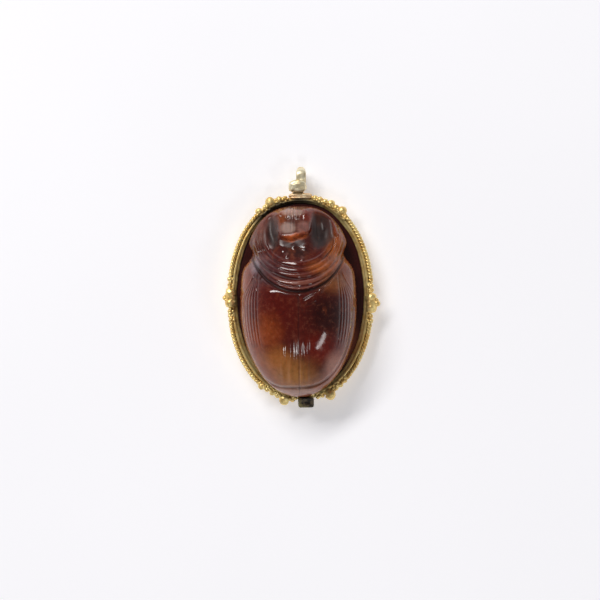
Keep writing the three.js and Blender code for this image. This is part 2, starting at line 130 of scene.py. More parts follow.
def bell(distance, width):
    return np.exp(-((distance / width) ** 2))


def ripple(points, wavelength, seed, waves=14):
    """A smooth field, mostly between -1.5 and 1.5, made of waves in random directions."""
    rng = np.random.default_rng(seed)
    total = np.zeros(points.shape[:-1])
    for _ in range(waves):
        direction = rng.normal(size=3)
        direction /= np.linalg.norm(direction)
        length = wavelength * rng.uniform(0.7, 1.5)
        total += np.sin(points @ direction * (2 * math.pi / length) + rng.uniform(0, 2 * math.pi))
    return total / math.sqrt(waves)


def ripples(points, *kinds):
    """The sum of several ripples, each given as height, wavelength and seed."""
    return sum(height * ripple(points, wavelength, seed) for height, wavelength, seed in kinds)


# Mesh helpers


def kept_inside(points):
    """Points moved together just far enough to lie inside the box of the solids."""
    low, high = np.array(CAD_BOX) / MM
    return points - np.maximum(0, points.max(0) - high) + np.maximum(0, low - points.min(0))


def mesh_piece(name, points, faces, material, slot, replaced, measures=None):
    """A piece with smooth faces that rides on the amulet and stands for CAD nodes.

    Measures are values at the points that the material reads by name."""
    mesh = bpy.data.meshes.new(name)
    mesh.from_pydata((np.asarray(points) * MM).tolist(), [], faces)
    mesh.polygons.foreach_set("use_smooth", [True] * len(mesh.polygons))
    mesh.materials.append(material)
    for key, values in (measures or {}).items():
        mesh.attributes.new(key, "FLOAT", "POINT").data.foreach_set("value", values)
    mesh.update()
    piece = bpy.data.objects.new(name, mesh)
    bpy.context.scene.collection.objects.link(piece)
    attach(piece, "root")
    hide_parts(*replaced)


def loop_faces(first, second):
    """Quads between two closed loops of point numbers."""
    first, second = np.asarray(first), np.asarray(second)
    quads = np.stack([first, second, np.roll(second, -1), np.roll(first, -1)], axis=1)
    return quads.tolist()


def ring_faces(loops, segments):
    """Quads of a closed ring made of closed loops that lie one after another."""
    numbers = np.arange(loops * segments).reshape(loops, segments)
    faces = []
    for k in range(loops):
        faces += loop_faces(numbers[k], numbers[(k + 1) % loops])
    return faces


CAP_SHARE = 0.6  # how far a tube's ends bulge, as a share of its radius


def tube(path, sides, radius):
    """Points and faces of a round tube with rounded ends along a path."""
    along = np.gradient(path, axis=0)
    along /= np.linalg.norm(along, axis=1, keepdims=True)
    side = np.cross(along, UP)
    side /= np.linalg.norm(side, axis=1, keepdims=True)
    over = np.cross(side, along)
    angles = np.linspace(0, 2 * math.pi, sides, endpoint=False)
    radii = radius[:, None, None]
    ring = np.cos(angles)[None, :, None] * side[:, None] + np.sin(angles)[None, :, None] * over[:, None]
    points = (path[:, None] + ring * radii).reshape(-1, 3)
    numbers = np.arange(len(points)).reshape(len(path), sides)
    faces = []
    for k in range(len(path) - 1):
        faces += loop_faces(numbers[k + 1], numbers[k])
    start, end = len(points), len(points) + 1
    cap = radii[0, 0, 0] * CAP_SHARE
    points = np.vstack([points, path[0] - along[0] * cap, path[-1] + along[-1] * cap])
    first, last = numbers[0], numbers[-1]
    faces += [[start, int(a), int(b)] for a, b in zip(first, np.roll(first, -1))]
    faces += [[end, int(b), int(a)] for a, b in zip(last, np.roll(last, -1))]
    return points, faces


def joined(parts):
    """One list of points and one of faces from several."""
    points, faces, count = [], [], 0
    for part_points, part_faces in parts:
        points.append(np.asarray(part_points))
        faces += [[i + count for i in face] for face in part_faces]
        count += len(part_points)
    return np.vstack(points), faces


def unit_sphere(subdivisions):
    """Points and faces of an even sphere of radius 1."""
    made = bmesh.new()
    bmesh.ops.create_icosphere(made, subdivisions=subdivisions, radius=1)
    points = np.array([v.co[:] for v in made.verts])
    faces = [[v.index for v in f.verts] for f in made.faces]
    made.free()
    return points, faces


# The oval of the band


def oval(angle, out):
    """The point at an angle on the plinth's outline, moved outward by a distance."""
    c, s = np.cos(angle), np.sin(angle)
    x = np.sign(c) * np.abs(c) ** (2 / OVAL_POWER) * (PLINTH_HALF[0] + out)
    y = np.sign(s) * np.abs(s) ** (2 / OVAL_POWER) * (PLINTH_HALF[1] + out)
    return x, y


def oval_angle(x, y, out):
    """The angle at which the moved outline passes a point on it."""
    u = np.sign(x) * np.abs(x / (PLINTH_HALF[0] + out)) ** (OVAL_POWER / 2)
    v = np.sign(y) * np.abs(y / (PLINTH_HALF[1] + out)) ** (OVAL_POWER / 2)
    return np.arctan2(v, u)


# The stone


def half_width(y):
    toward_tail = y < WIDEST_AT
    share = (y - WIDEST_AT) / np.where(toward_tail, TAIL - WIDEST_AT, HEAD - WIDEST_AT)
    share = np.clip(share, 0, 1)
    tail_side = (1 - share**TAIL_POWER) ** (1 / TAIL_POWER)
    head_side = (1 - share**HEAD_POWER) ** (1 / HEAD_POWER)
    waist = bell(y - WAIST_AT, np.where(y < WAIST_AT, WAIST_TO_TAIL, WAIST_TO_HEAD))
    return HALF_WIDTH * np.where(toward_tail, tail_side, head_side) - WAIST_DEPTH * waist


def from_arc(x, y, across, along):
    """About the distance from an oval arc round the prothorax, positive outside it."""
    u, v = x / across, (y - COLLAR_CENTRE) / along
    size = np.hypot(u, v)
    return (size - 1) * size / np.maximum(1e-9, np.hypot(u / across, v / along))


# Grooves round the back of the prothorax: across, along, depth, width, how far forward they run,
# then the length and tilt of the step in front of each
COLLAR_GROOVES = (
    (4.85, 5.40, 0.32, 0.15, 6.0, 0.50, 0.15),
    (4.72, 4.90, 0.12, 0.10, 6.0, 0.70, 0.20),
    (4.55, 4.20, 0.24, 0.18, 6.4, 0.65, 0.30),
    (4.15, 3.55, 0.09, 0.10, 6.9, 0.55, 0.28),
    (3.65, 3.00, 0.12, 0.12, 5.4, 0.60, 0.22),
)
STEP_EDGE = 0.18  # how soft the front of each step is
GROOVE_FADE = 0.6  # how softly the grooves end toward the head
GROOVE_RIPPLE = (0.25, 2.6, 12)
SHOULDER_DEPTH, SHOULDER_WIDTH = 0.10, 0.5  # the wing cases slope down to the last groove
# Grooves beside the head: place across, lean, bow, width to the left and right, depth
CHEEK_GROOVES = ((-2.55, -0.09, 0.0, 0.46, 0.46, 0.40), (1.8, 0.0, 0.25, 0.60, 1.5, 0.70))
CHEEK_REAR, CHEEK_MIDDLE, CHEEK_FRONT, CHEEK_FADE, CHEEK_HALF = 4.3, 6.5, 8.9, 1.8, 2.2
CHEEK_SIDE_RIPPLE, CHEEK_FLOOR_RIPPLE = (0.08, 2.2, 13), (0.03, 0.75, 14)
CLYPEUS_AT, CLYPEUS_HALF, CLYPEUS_FLARE, CLYPEUS_EDGE = -0.3, 1.30, 0.19, 0.46
CLYPEUS_REAR, CLYPEUS_FRONT, CLYPEUS_RISE, CLYPEUS_DROP = 5.9, 8.8, 0.38, 0.30
CLYPEUS_STEP, CLYPEUS_SLANT, CLYPEUS_ROUND, CLYPEUS_FRONT_FADE = 0.5, 0.16, 0.10, 0.4
CLYPEUS_SIDE_RIPPLE, CLYPEUS_STEP_RIPPLE = (0.08, 1.8, 15), (0.10, 1.0, 16)
EDGE_REACH, EDGE_HALF = 0.40, 1.35  # the painted glow at the clypeus's rear edge: reach along, and how far it runs to the sides
HOLLOW_AT, HOLLOW_HALF = (-0.5, 5.5), (2.0, 1.0)  # the low ground behind the clypeus
# Lines cut along the clypeus: place across, depth, width
CLYPEUS_LINES = ((-1.05, 0.05, 0.09), (-0.66, 0.12, 0.06), (-0.36, 0.10, 0.06), (0.5, 0.04, 0.12))
LINES_FROM, LINES_FULL = 0.4, 0.9  # where these lines begin, from the clypeus's rear
# Knobs on the rear of the head: across, along, height, width
HEAD_KNOBS = (
    (-0.42, 5.05, 0.10, 0.24), (-1.1, 4.15, 0.11, 0.22),
    (-1.55, 4.7, 0.05, 0.24), (0.40, 3.75, 0.10, 0.20),
    (0.75, 4.9, 0.05, 0.26),
)
# Ridges on the lobes and at the front of the head: start, end, height, width
LOBE_RIDGES = (
    ((3.62, 7.4), (3.80, 6.4), 0.42, 0.30), ((4.15, 6.3), (3.45, 4.7), 0.07, 0.10),
    ((3.3, 4.9), (2.2, 3.6), 0.07, 0.10), ((-3.9, 7.0), (-4.15, 5.6), 0.06, 0.14),
    ((2.45, 7.3), (2.55, 6.7), 0.06, 0.09), ((-1.7, 8.5), (0.6, 8.55), 0.38, 0.70),
    ((-1.2, 7.5), (-1.15, 8.5), 0.07, 0.12), ((-1.75, 8.2), (-1.6, 8.7), 0.07, 0.10),
    ((-0.1, 8.0), (-0.05, 8.8), 0.07, 0.10), ((0.35, 8.2), (0.5, 8.7), 0.07, 0.09),
    ((-2.2, 8.1), (-1.2, 8.75), 0.06, 0.12),
)
HEAD_AT, HEAD_REACH = (-0.2, 4.7), (1.7, 1.4)  # the worn rear of the head
HEAD_RIPPLES = ((0.008, 0.6, 17), (0.02, 1.5, 19))
DOME_RIPPLES = ((0.025, 3.5, 11), (0.005, 1.1, 18))
SUTURE_DEPTH, SUTURE_WIDTH, SUTURE_FROM = 0.07, 0.08, 0.4
SUTURE_BEHIND, SUTURE_AHEAD = 0.2, 0.1  # the suture fades in between these, about where it begins
# Flutes toward the tail: place across, height, width
FLUTES = ((-1.6, 0.07, 0.22), (-0.85, 0.10, 0.20), (0.25, 0.08, 0.17), (0.8, 0.08, 0.17))
FLUTE_FROM, FLUTE_FULL, FLUTE_END, FLUTE_END_FADE = -2.6, -4.6, -8.7, 0.8
STRIA_SHARES = (0.71, 0.76, 0.81, 0.86, 0.905, 0.95)
STRIA_SHOULDER, STRIA_GATHER = 0.68, 0.30
STRIA_TOP, STRIA_SPREAD_AT, STRIA_END = 2.7, -0.5, -3.6
STRIA_TOP_FADE, STRIA_END_FADE = 0.6, 1.5
STRIA_DEPTH, STRIA_WIDTH = 0.06, 0.07
STRIA_CREST, STRIA_APART = 0.025, 0.15
LEDGE_AT, LEDGE_LEFT, LEDGE_RIGHT, LEDGE_TURN = 0.881, 0.12, 0.05, 0.45
LEDGE_DEPTH, LEDGE_WIDTH = 0.20, 0.017
# Chips on the back: start, end, depth, width
CHIPS = (
    ((0.55, -0.15), (1.60, 0.50), 0.10, 0.10), ((0.70, -0.75), (1.75, -0.35), 0.06, 0.08),
    ((-0.05, 0.10), (0.15, -0.80), 0.08, 0.10), ((0.10, -0.95), (0.45, -1.25), 0.07, 0.09),
    ((0.95, 0.75), (1.25, 0.95), 0.08, 0.09), ((1.85, 0.55), (1.95, 0.70), 0.08, 0.08),
    ((2.30, 0.60), (2.60, 1.10), 0.10, 0.10), ((2.85, 1.25), (3.10, 1.45), 0.07, 0.08),
    ((-3.60, 1.85), (-3.50, 2.05), 0.09, 0.10), ((-3.75, 2.5), (-3.6, 2.7), 0.06, 0.08),
)


def from_stroke(x, y, start, end):
    """Distance from a straight stroke between two points."""
    start, end = np.array(start), np.array(end)
    run = end - start
    t = np.clip(((x - start[0]) * run[0] + (y - start[1]) * run[1]) / (run @ run), 0, 1)
    return np.hypot(x - start[0] - t * run[0], y - start[1] - t * run[1])


def clypeus(x, y):
    """Height of the shield at the front of the head, its share of the surface, and its rear edge."""
    place = np.stack([x, y, 0 * x], -1)
    half = CLYPEUS_HALF + CLYPEUS_FLARE * (y - CLYPEUS_REAR) + ripples(place, CLYPEUS_SIDE_RIPPLE)
    across = 1 - smooth(-CLYPEUS_EDGE / 2, CLYPEUS_EDGE / 2, np.abs(x - CLYPEUS_AT) - half)
    uneven = ripples(place, CLYPEUS_STEP_RIPPLE) + CLYPEUS_ROUND * (x - CLYPEUS_AT) ** 2
    step_at = y - CLYPEUS_REAR - CLYPEUS_SLANT * (x - CLYPEUS_AT) - uneven
    step = smooth(-CLYPEUS_STEP / 2, CLYPEUS_STEP / 2, step_at)
    front = 1 - smooth(CLYPEUS_FRONT - CLYPEUS_FRONT_FADE, HEAD, y)
    height = CLYPEUS_RISE * (1 - smooth(CLYPEUS_REAR, CLYPEUS_FRONT, y)) * step * front
    off = np.hypot((x - HOLLOW_AT[0]) / HOLLOW_HALF[0], (y - HOLLOW_AT[1]) / HOLLOW_HALF[1])
    hollow = CLYPEUS_DROP * bell(off, 1) * (1 - step * across)
    edge = bell(step_at, EDGE_REACH) * bell((x - CLYPEUS_AT) / EDGE_HALF, 1)
    return across * height - hollow, across * smooth(0, CLYPEUS_STEP, step_at), edge


def carving(x, y, p, q):
    """Height that the carving adds to the dome: x, y on the beetle and p, q on its unit disc."""
    height = np.zeros_like(x)
    place = np.stack([x, y, 0 * x], -1)
    worn = 1 + ripples(place, GROOVE_RIPPLE)
    for across, along, depth, width, forward, length, tilt in COLLAR_GROOVES:
        backward = 1 - smooth(forward - GROOVE_FADE, forward + GROOVE_FADE, y)
        off = from_arc(x, y, across, along)
        height -= depth * worn * bell(off, width) * backward
        step = np.maximum(0, -off) * (1 - smooth(length - STEP_EDGE, length, -off))
        height += tilt * step * backward
    behind = from_arc(x, y, *COLLAR_GROOVES[0][:2])
    height -= SHOULDER_DEPTH * bell(behind, SHOULDER_WIDTH) * (behind > 0)
    height -= SHOULDER_DEPTH * bell(behind, COLLAR_GROOVES[0][3]) * (behind <= 0)
    beside_head = smooth(CHEEK_REAR, CHEEK_REAR + CHEEK_FADE, y)
    beside_head = beside_head * (1 - smooth(CHEEK_FRONT - CHEEK_FADE, CHEEK_FRONT, y))
    forward = y - CHEEK_MIDDLE
    bend, floor_ripple = ripples(place, CHEEK_SIDE_RIPPLE), ripples(place, CHEEK_FLOOR_RIPPLE)
    for at, lean, bow, left, right, depth in CHEEK_GROOVES:
        middle = at + lean * forward + bow * (1 - (forward / CHEEK_HALF) ** 2) + bend
        cut = bell(x - middle, np.where(x < middle, left, right))
        height -= (depth - floor_ripple) * cut * beside_head
    height += clypeus(x, y)[0]
    on_lines = smooth(CLYPEUS_REAR + LINES_FROM, CLYPEUS_REAR + LINES_FULL, y)
    for at, depth, width in CLYPEUS_LINES:
        height -= depth * bell(x - at, width) * on_lines
    for kx, ky, rise, width in HEAD_KNOBS:
        height += rise * bell(np.hypot(x - kx, y - ky), width)
    for start, end, rise, width in LOBE_RIDGES:
        height += rise * bell(from_stroke(x, y, start, end), width)
    off = np.hypot((x - HEAD_AT[0]) / HEAD_REACH[0], (y - HEAD_AT[1]) / HEAD_REACH[1])
    height += ripples(place, *HEAD_RIPPLES) * bell(off, 1)
    on_elytra = 1 - smooth(SUTURE_FROM - SUTURE_BEHIND, SUTURE_FROM + SUTURE_AHEAD, y)
    height -= SUTURE_DEPTH * bell(x, SUTURE_WIDTH) * on_elytra
    share = np.abs(x) / np.maximum(0.5, half_width(y))
    spread = smooth(STRIA_TOP, STRIA_SPREAD_AT, y)
    on_flank = smooth(STRIA_TOP, STRIA_TOP - STRIA_TOP_FADE, y)
    on_flank = on_flank * smooth(STRIA_END - STRIA_END_FADE, STRIA_END, y)
    for full in STRIA_SHARES:
        gathered = STRIA_SHOULDER + (full - STRIA_SHOULDER) * STRIA_GATHER
        at = gathered + (full - gathered) * spread
        off = (share - at) * HALF_WIDTH
        height -= STRIA_DEPTH * bell(off, STRIA_WIDTH) * on_flank
        height += STRIA_CREST * bell(off - STRIA_APART, STRIA_WIDTH) * on_flank
    turn = np.arctan2(p, -q)
    apart = np.where(turn < 0, LEDGE_LEFT, LEDGE_RIGHT) * (1 - bell(turn, LEDGE_TURN))
    radius = np.hypot(p, q)
    height -= LEDGE_DEPTH * bell(radius - LEDGE_AT - apart, LEDGE_WIDTH) * (q < 0)
    for start, end, depth, width in CHIPS:
        height -= depth * bell(from_stroke(x, y, start, end), width)
    return height


def flutes(x, y):
    near_tail = smooth(FLUTE_FROM, FLUTE_FULL, y) * smooth(FLUTE_END, FLUTE_END + FLUTE_END_FADE, y)
    return sum(rise * bell(x - at, width) for at, rise, width in FLUTES) * near_tail


def on_plinth(x, y):
    wide = (PLINTH_HALF[0] - SIDE_SETBACK) / HALF_WIDTH
    tail = -(PLINTH_HALF[1] + TAIL_OVERHANG)
    head = PLINTH_HALF[1] - HEAD_SETBACK
    bx, by = x * wide, tail + (y - TAIL) * (head - tail) / (HEAD - TAIL)
    c, s = math.cos(BEETLE_LEAN), math.sin(BEETLE_LEAN)
    return BEETLE_SHIFT + bx * c - by * s, bx * s + by * c


def beetle_top(p, q):
    """Points of the carved top over the unit disc, and the measures that the material reads."""
    reach = np.where(q < 0, WIDEST_AT - TAIL, HEAD - WIDEST_AT)
    y = WIDEST_AT + q * reach
    chord = np.sqrt(np.maximum(1e-12, 1 - q * q))
    x = np.clip(p / chord, -1, 1) * half_width(y)
    radius = np.minimum(1, np.hypot(p, q))
    dome = np.sqrt(1 - radius**DOME_POWER)
    drop = 1 - FRONT_DROP * smooth(FRONT_FROM, FRONT_TO, y)
    place = np.stack([x, y, 0 * x], -1)
    waver = ripples(place, *DOME_RIPPLES) - TOP_WORN
    inside_rim = 1 - smooth(RIM_FADE, 1, radius)
    relief = carving(x, y, p, q) * inside_rim
    carved = relief + (waver + flutes(x, y)) * inside_rim
    height = np.maximum(0, DOME * dome * drop + carved)
    px, py = on_plinth(x, y)
    return np.stack([px, py, PLINTH_HEIGHT + RIM_HEIGHT + height], -1), relief, *clypeus(x, y)[1:]


def legs(y, down):
    """How much of a leg there is at a place along the side, as the legs slant downward."""
    return sum(bell(y - at + LEG_SLANT * down, LEG_WIDTH) for at in LEGS_AT)


def rows(count):
    """Row places from -1 to 1 that crowd together over the collar and head."""
    even = np.linspace(-1, 1, 2001)
    crowd = np.cumsum(1 + ROW_CROWDING * bell(even - ROWS_CROWD_AT, ROWS_CROWD_REACH))
    crowd = (crowd - crowd[0]) / (crowd[-1] - crowd[0])
    return np.interp(np.linspace(0, 1, count), crowd, even)


def scarab_mesh(across, along):
    """Points, faces and measures of the whole stone: carved top, side under it, and plinth."""
    u, v = np.meshgrid(np.linspace(-1, 1, across + 1), rows(along + 1))
    p, q = u * np.sqrt(1 - v * v / 2), v * np.sqrt(1 - u * u / 2)
    crowd = 1 + RIM_CROWDING * (1 - (p * p + q * q))
    p, q = p * crowd, q * crowd
    top, relief, plate, edge = beetle_top(p, q)
    numbers = np.arange(top.shape[0] * top.shape[1]).reshape(top.shape[:2])
    quads = [numbers[:-1, :-1], numbers[:-1, 1:], numbers[1:, 1:], numbers[1:, :-1]]
    faces = np.stack(quads, -1).reshape(-1, 4).tolist()
    rim = np.concatenate([numbers[0, :-1], numbers[:-1, -1], numbers[-1, :0:-1], numbers[:0:-1, 0]])
    points = top.reshape(-1, 3)
    rim_points = points[rim]
    rim_angle = np.arctan2(q.ravel()[rim], p.ravel()[rim])
    radial = np.hypot(rim_points[:, 0], rim_points[:, 1])

    def under_rim(inset, relief, down, z):
        depth = inset - relief * legs(rim_points[:, 1], down)
        share = 1 - depth / radial
        return np.stack([rim_points[:, 0] * share, rim_points[:, 1] * share, np.full(len(rim), z)], -1)

    def plinth_ring(inset, z):
        x, y = oval(rim_angle, -inset)
        return np.stack([x, y, np.full(len(rim), z)], -1)

    rim_z = PLINTH_HEIGHT + RIM_HEIGHT
    rings = []
    for t in np.linspace(0.2, 1, 5):  # the rounded edge of the rim
        turn = t * math.pi / 2
        inset, z = RIM_ROUND * (1 - math.cos(turn)), rim_z - RIM_THICKNESS * math.sin(turn)
        rings.append(under_rim(inset, 0, 0, z))
    for t in np.linspace(0.2, 1, 5):  # in under the rim
        inset = RIM_ROUND + (UNDERCUT_DEPTH - RIM_ROUND) * math.sin(t * math.pi / 2)
        z = rim_z - RIM_THICKNESS - (RIM_HEIGHT - RIM_THICKNESS - UNDERCUT_HEIGHT) * t * t
        rings.append(under_rim(inset, LEG_RELIEF * t, -0.5, z))
    for t in np.linspace(0.25, 1, 4):  # down past the legs
        z = PLINTH_HEIGHT + UNDERCUT_HEIGHT * (1 - t)
        rings.append(under_rim(UNDERCUT_DEPTH, LEG_RELIEF, t - 0.5, z))
    rings.append(under_rim(UNDERCUT_DEPTH - FLAT_FROM, LEG_RELIEF, 0.5, PLINTH_HEIGHT))
    rings.append(plinth_ring(PLINTH_EDGE + FLAT_FROM, PLINTH_HEIGHT))
    for t in np.linspace(0.25, 1, 4):  # the rounded edge of the plinth
        turn = t * math.pi / 2
        z = PLINTH_HEIGHT - PLINTH_EDGE * (1 - math.cos(turn))
        rings.append(plinth_ring(PLINTH_EDGE * (1 - math.sin(turn)), z))
    rings.append(plinth_ring(0, BACK_BEVEL_HEIGHT))
    rings.append(plinth_ring(BACK_BEVEL, 0))
    last = rim
    for ring in rings:
        number = np.arange(len(points), len(points) + len(ring))
        points = np.vstack([points, ring])
        faces += loop_faces(last, number)
        last = number
    faces.append(last[::-1].tolist())
    below = np.zeros(len(points) - relief.size)
    measures = {"relief": relief, "clypeus": plate, "clypeus_edge": edge}
    return points, faces, {key: np.append(values, below) for key, values in measures.items()}


# The gold


# The band's section: out from the plinth, height, share of the lip's shift, share of the wear
BAND_SECTION = (
    (-0.25, 1.60, 1, 1), (-0.27, 1.65, 1, 1),
    (-0.26, 1.70, 1, 1), (-0.20, 1.76, 0.8, 0.9),
    (-0.10, 1.79, 0.6, 0.7), (-0.05, 1.80, 0.5, 0.5),
    (-0.01, 1.86, 0.3, 0.4), (0.06, 1.91, 0.1, 0.4),
    (0.20, 1.92, 0, 0.3), (0.28, 1.84, 0, 0.3),
    (0.30, 1.60, 0, 0.3), (0.40, 1.56, 0, 0.5),
    (0.50, 1.54, 0, 0.8), (0.50, 1.49, 0, 0.8),
    (0.36, 1.44, 0, 0.4), (0.28, 1.34, 0, 0.3),
    (0.28, 0.80, 0, 0.4), (0.28, 0.12, 0, 0.2),
    (0.27, 0.05, 0, 0), (0.23, 0, 0, 0),
    (-0.24, 0, 0, 0), (0.05, 0.37, 0, 0),
    (0.05, 1.60, 0, 0),
)
BAND_SEGMENTS = 900
BAND_RIPPLES = ((0.028, 2.2, 21), (0.012, 0.7, 22))
LIP_SHIFT = 0.15  # the inner lip lies this far toward the head
LIP_BOTTOM = 1.65
LIP_WEAR, LIP_WEAR_MOST = 0.5, 0.6  # share of the wear that goes up and down, and its limit


def bezel_mesh():
    """The band as one section carried round the oval, with its lip worn uneven."""
    angles = np.linspace(0, 2 * math.pi, BAND_SEGMENTS, endpoint=False)
    loops = []
    for out, z, shifted, _worn in BAND_SECTION:
        x, y = oval(angles, out)
        loops.append(np.stack([x, y + shifted * LIP_SHIFT, np.full(BAND_SEGMENTS, z)], -1))
    points = np.array(loops)
    radial = points[..., :2] / np.linalg.norm(points[..., :2], axis=-1, keepdims=True)
    wear = ripples(points, *BAND_RIPPLES)
    free = np.array([row[3] for row in BAND_SECTION])[:, None]
    points[..., :2] += radial * (wear * free)[..., None]
    points[..., 2] += LIP_WEAR * wear * np.minimum(free, LIP_WEAR_MOST) * (points[..., 2] > LIP_BOTTOM)
    return points.reshape(-1, 3), ring_faces(len(BAND_SECTION), BAND_SEGMENTS)


ROPE_PITCH = 0.66
STRAND_RADIUS = 0.128
STRAND_OFFSET = 0.108
STRAND_SIDES = 10
ROPE_INWARD = 0.02  # the strands lie this much nearer the band than the rod
ROPE_END_GAP, ROPE_STEP = 0.06, 0.05
# Height and wavelength of the rope's sag, its uneven twist and its uneven thickness
ROPE_SAG, ROPE_TWIST, ROPE_THICKNESS = (0.02, 3.0), (0.5, 2.5), (0.05, 0.8)


def rope_mesh(name, seed):
    """Two strands wound round each other along the plain rod that stands for them."""
    rod = node_points(name)
    out = BAND_OUT + SOLDER_GAP + ROPE_RADIUS
    angles = oval_angle(rod[:, 0], rod[:, 1], out)
    if angles.max() - angles.min() > math.pi:
        angles = np.where(angles < 0, angles + 2 * math.pi, angles)
    fine = np.linspace(angles.min(), angles.max(), 2000)
    x, y = oval(fine, out - ROPE_INWARD)
    run = np.concatenate([[0], np.cumsum(np.hypot(np.diff(x), np.diff(y)))])
    steps = int((run[-1] - 2 * ROPE_END_GAP) / ROPE_STEP)
    at = np.linspace(ROPE_END_GAP, run[-1] - ROPE_END_GAP, steps)
    line = np.stack([np.interp(at, run, x), np.interp(at, run, y), np.full(steps, TRIM_HEIGHT)], -1)
    line[:, 2] += ripples(line, (*ROPE_SAG, seed))
    along = np.gradient(line, axis=0)
    along /= np.linalg.norm(along, axis=1, keepdims=True)
    outward = np.stack([along[:, 1], -along[:, 0], 0 * along[:, 0]], -1)
    phase = 2 * math.pi * at / ROPE_PITCH + ripples(line, (*ROPE_TWIST, seed + 1))
    radius = STRAND_RADIUS * (1 + ripples(line, (*ROPE_THICKNESS, seed + 2)))
    strands = []
    for turn in (0, math.pi):
        offset = np.cos(phase + turn)[:, None] * outward + np.sin(phase + turn)[:, None] * UP
        strands.append(tube(line + STRAND_OFFSET * offset, STRAND_SIDES, radius))
    return joined(strands)


LUMP_DENTS, LUMP_PITS, LUMP_MOST = (0.07, 1.6), (0.03, 0.55), 1.08


def lump(centre, radius, seed, subdivisions, squash=(1, 1, 1)):
    """A melted grain: nearly round, a little flat in places, with small pits."""
    points, faces = unit_sphere(subdivisions)
    uneven = 1 + ripples(points + seed, (*LUMP_DENTS, seed)) + ripples(points, (*LUMP_PITS, seed + 1))
    points = points * np.minimum(uneven, LUMP_MOST)[:, None] * np.asarray(squash) * radius
    return points + centre, faces


HEAD_FULLER, HEAD_END_SHARE = 1.18, 0.7  # the grains beside the collar are the fullest
GRAIN_FULLER, GRAIN_SHAPE = 1.14, (1, 1, 0.94)
# Solder at a grain's inner side: past the radius, share of both, drop, shape
FOOT_GAP, FOOT_SHARE, FOOT_DROP, FOOT_SHAPE = 0.02, 0.6, 0.04, (1.0, 1.0, 0.85)
# Least and most for the small grains beside a grain, whose reach is a share of its radius
SMALL_RADIUS, SMALL_REACH = (0.14, 0.20), (0.95, 1.15)
SMALL_LIFT, SMALL_INWARD = (0.02, 0.18), (-0.02, 0.20)
MIDDLE_INWARD = 0.20  # the small grain in the middle lies further in


def grain_cluster(centre, radius, seed):
    """A grain with the small melted grains and solder that join it to the band and its neighbours."""
    rng = np.random.default_rng(seed)
    radius *= HEAD_FULLER if centre[1] > HEAD_END_SHARE * PLINTH_HALF[1] else 1
    outward = np.array([centre[0] / PLINTH_HALF[0] ** 2, centre[1] / PLINTH_HALF[1] ** 2, 0])
    outward /= np.linalg.norm(outward)
    along = np.array([-outward[1], outward[0], 0])
    parts = [lump(centre, radius * GRAIN_FULLER, seed, 3, GRAIN_SHAPE)]
    foot = centre - outward * (radius + FOOT_GAP) * FOOT_SHARE - UP * FOOT_DROP
    parts.append(lump(foot, radius, seed + 1, 3, FOOT_SHAPE))
    for side in (-1, 1, 0):
        small = rng.uniform(*SMALL_RADIUS)
        reach = radius * rng.uniform(*SMALL_REACH)
        lift = rng.uniform(*SMALL_LIFT)
        inward = rng.uniform(*SMALL_INWARD) + (0 if side else MIDDLE_INWARD)
        middle = centre + along * side * reach - outward * inward + UP * lift
        parts.append(lump(middle, small, seed + 2 + side, 2))
    return joined(parts)


BOSS_OVER = {-1: 0.36, 1: 0.44}  # how far outside the plinth each boss has its middle
BOSS_HEIGHT, BOSS_TILT = 1.96, 0.02
BOSS_LOBE_AT = 0.5  # place of each lobe, as a share of the boss's half length
# Half sizes of a lobe and of the waist: across, share of the boss's half length, up
BOSS_LOBE, BOSS_WAIST = (0.56, 0.56, 0.54), (0.50, 0.5, 0.48)


def boss_mesh(name, seed):
    """Two lobes with a waist, which sit over the band's upper edge."""
    low, high = node_box(name)
    side = 1 if high[0] > 0 else -1
    half_long = (high[1] - low[1]) / 2
    over = side * (PLINTH_HALF[0] + BOSS_OVER[side])
    centre = np.array([over, (low[1] + high[1]) / 2, BOSS_HEIGHT])
    lengthwise = np.array([1, half_long, 1])
    parts = []
    for sign in (1, -1):
        middle = centre + [0, sign * half_long * BOSS_LOBE_AT, BOSS_TILT * sign]
        parts.append(lump(middle, 1.0, seed + 5 * sign, 4, BOSS_LOBE * lengthwise))
    parts.append(lump(centre, 1.0, seed + 9, 4, BOSS_WAIST * lengthwise))
    return joined(parts)


def node_sphere(name):
    """Centre and radius of a grain, from its two poles."""
    points = node_points(name)
    poles = points[[points[:, 1].argmin(), points[:, 1].argmax()]]
    return poles.mean(0), (poles[1, 1] - poles[0, 1]) / 2


BEAD_FULLNESS = 0.80
BEAD_SPREAD = (1.12, 0.99, 1.0)
BEAD_SHARE, BEAD_RIPPLES, BEAD_MOST = 0.94, ((0.03, 0.55, 71), (0.035, 1.5, 72)), 0.05
# Deep pits in the bead: direction from its middle, depth, width
BEAD_PITS = (
    ((0.15, -0.35, 0.9), 0.07, 0.22),
    ((-0.5, 0.1, 0.85), 0.05, 0.2),
    ((0.55, 0.25, 0.8), 0.05, 0.16),
)


def bead_mesh():
    low, high = node_box("suspension_bead")
    points, faces = unit_sphere(6)
    half = (high - low) / 2
    uneven = np.minimum(ripples(points, *BEAD_RIPPLES), BEAD_MOST)
    deep = np.zeros(len(points))
    for direction, depth, width in BEAD_PITS:
        direction = np.array(direction) / np.linalg.norm(direction)
        deep += depth * bell(np.linalg.norm(points - direction, axis=1), width)
    fuller = np.sign(points) * np.abs(points) ** BEAD_FULLNESS
    points = fuller * (BEAD_SHARE + uneven - deep)[:, None] * half * BEAD_SPREAD
    return points + (low + high) / 2, faces


COLLAR_SPREAD = (1.0, 1.40, 1.1)
COLLAR_POWERS = (0.7, 0.9, 0.8)
COLLAR_SHARE, COLLAR_RIPPLE = 0.96, (0.05, 0.8, 61)
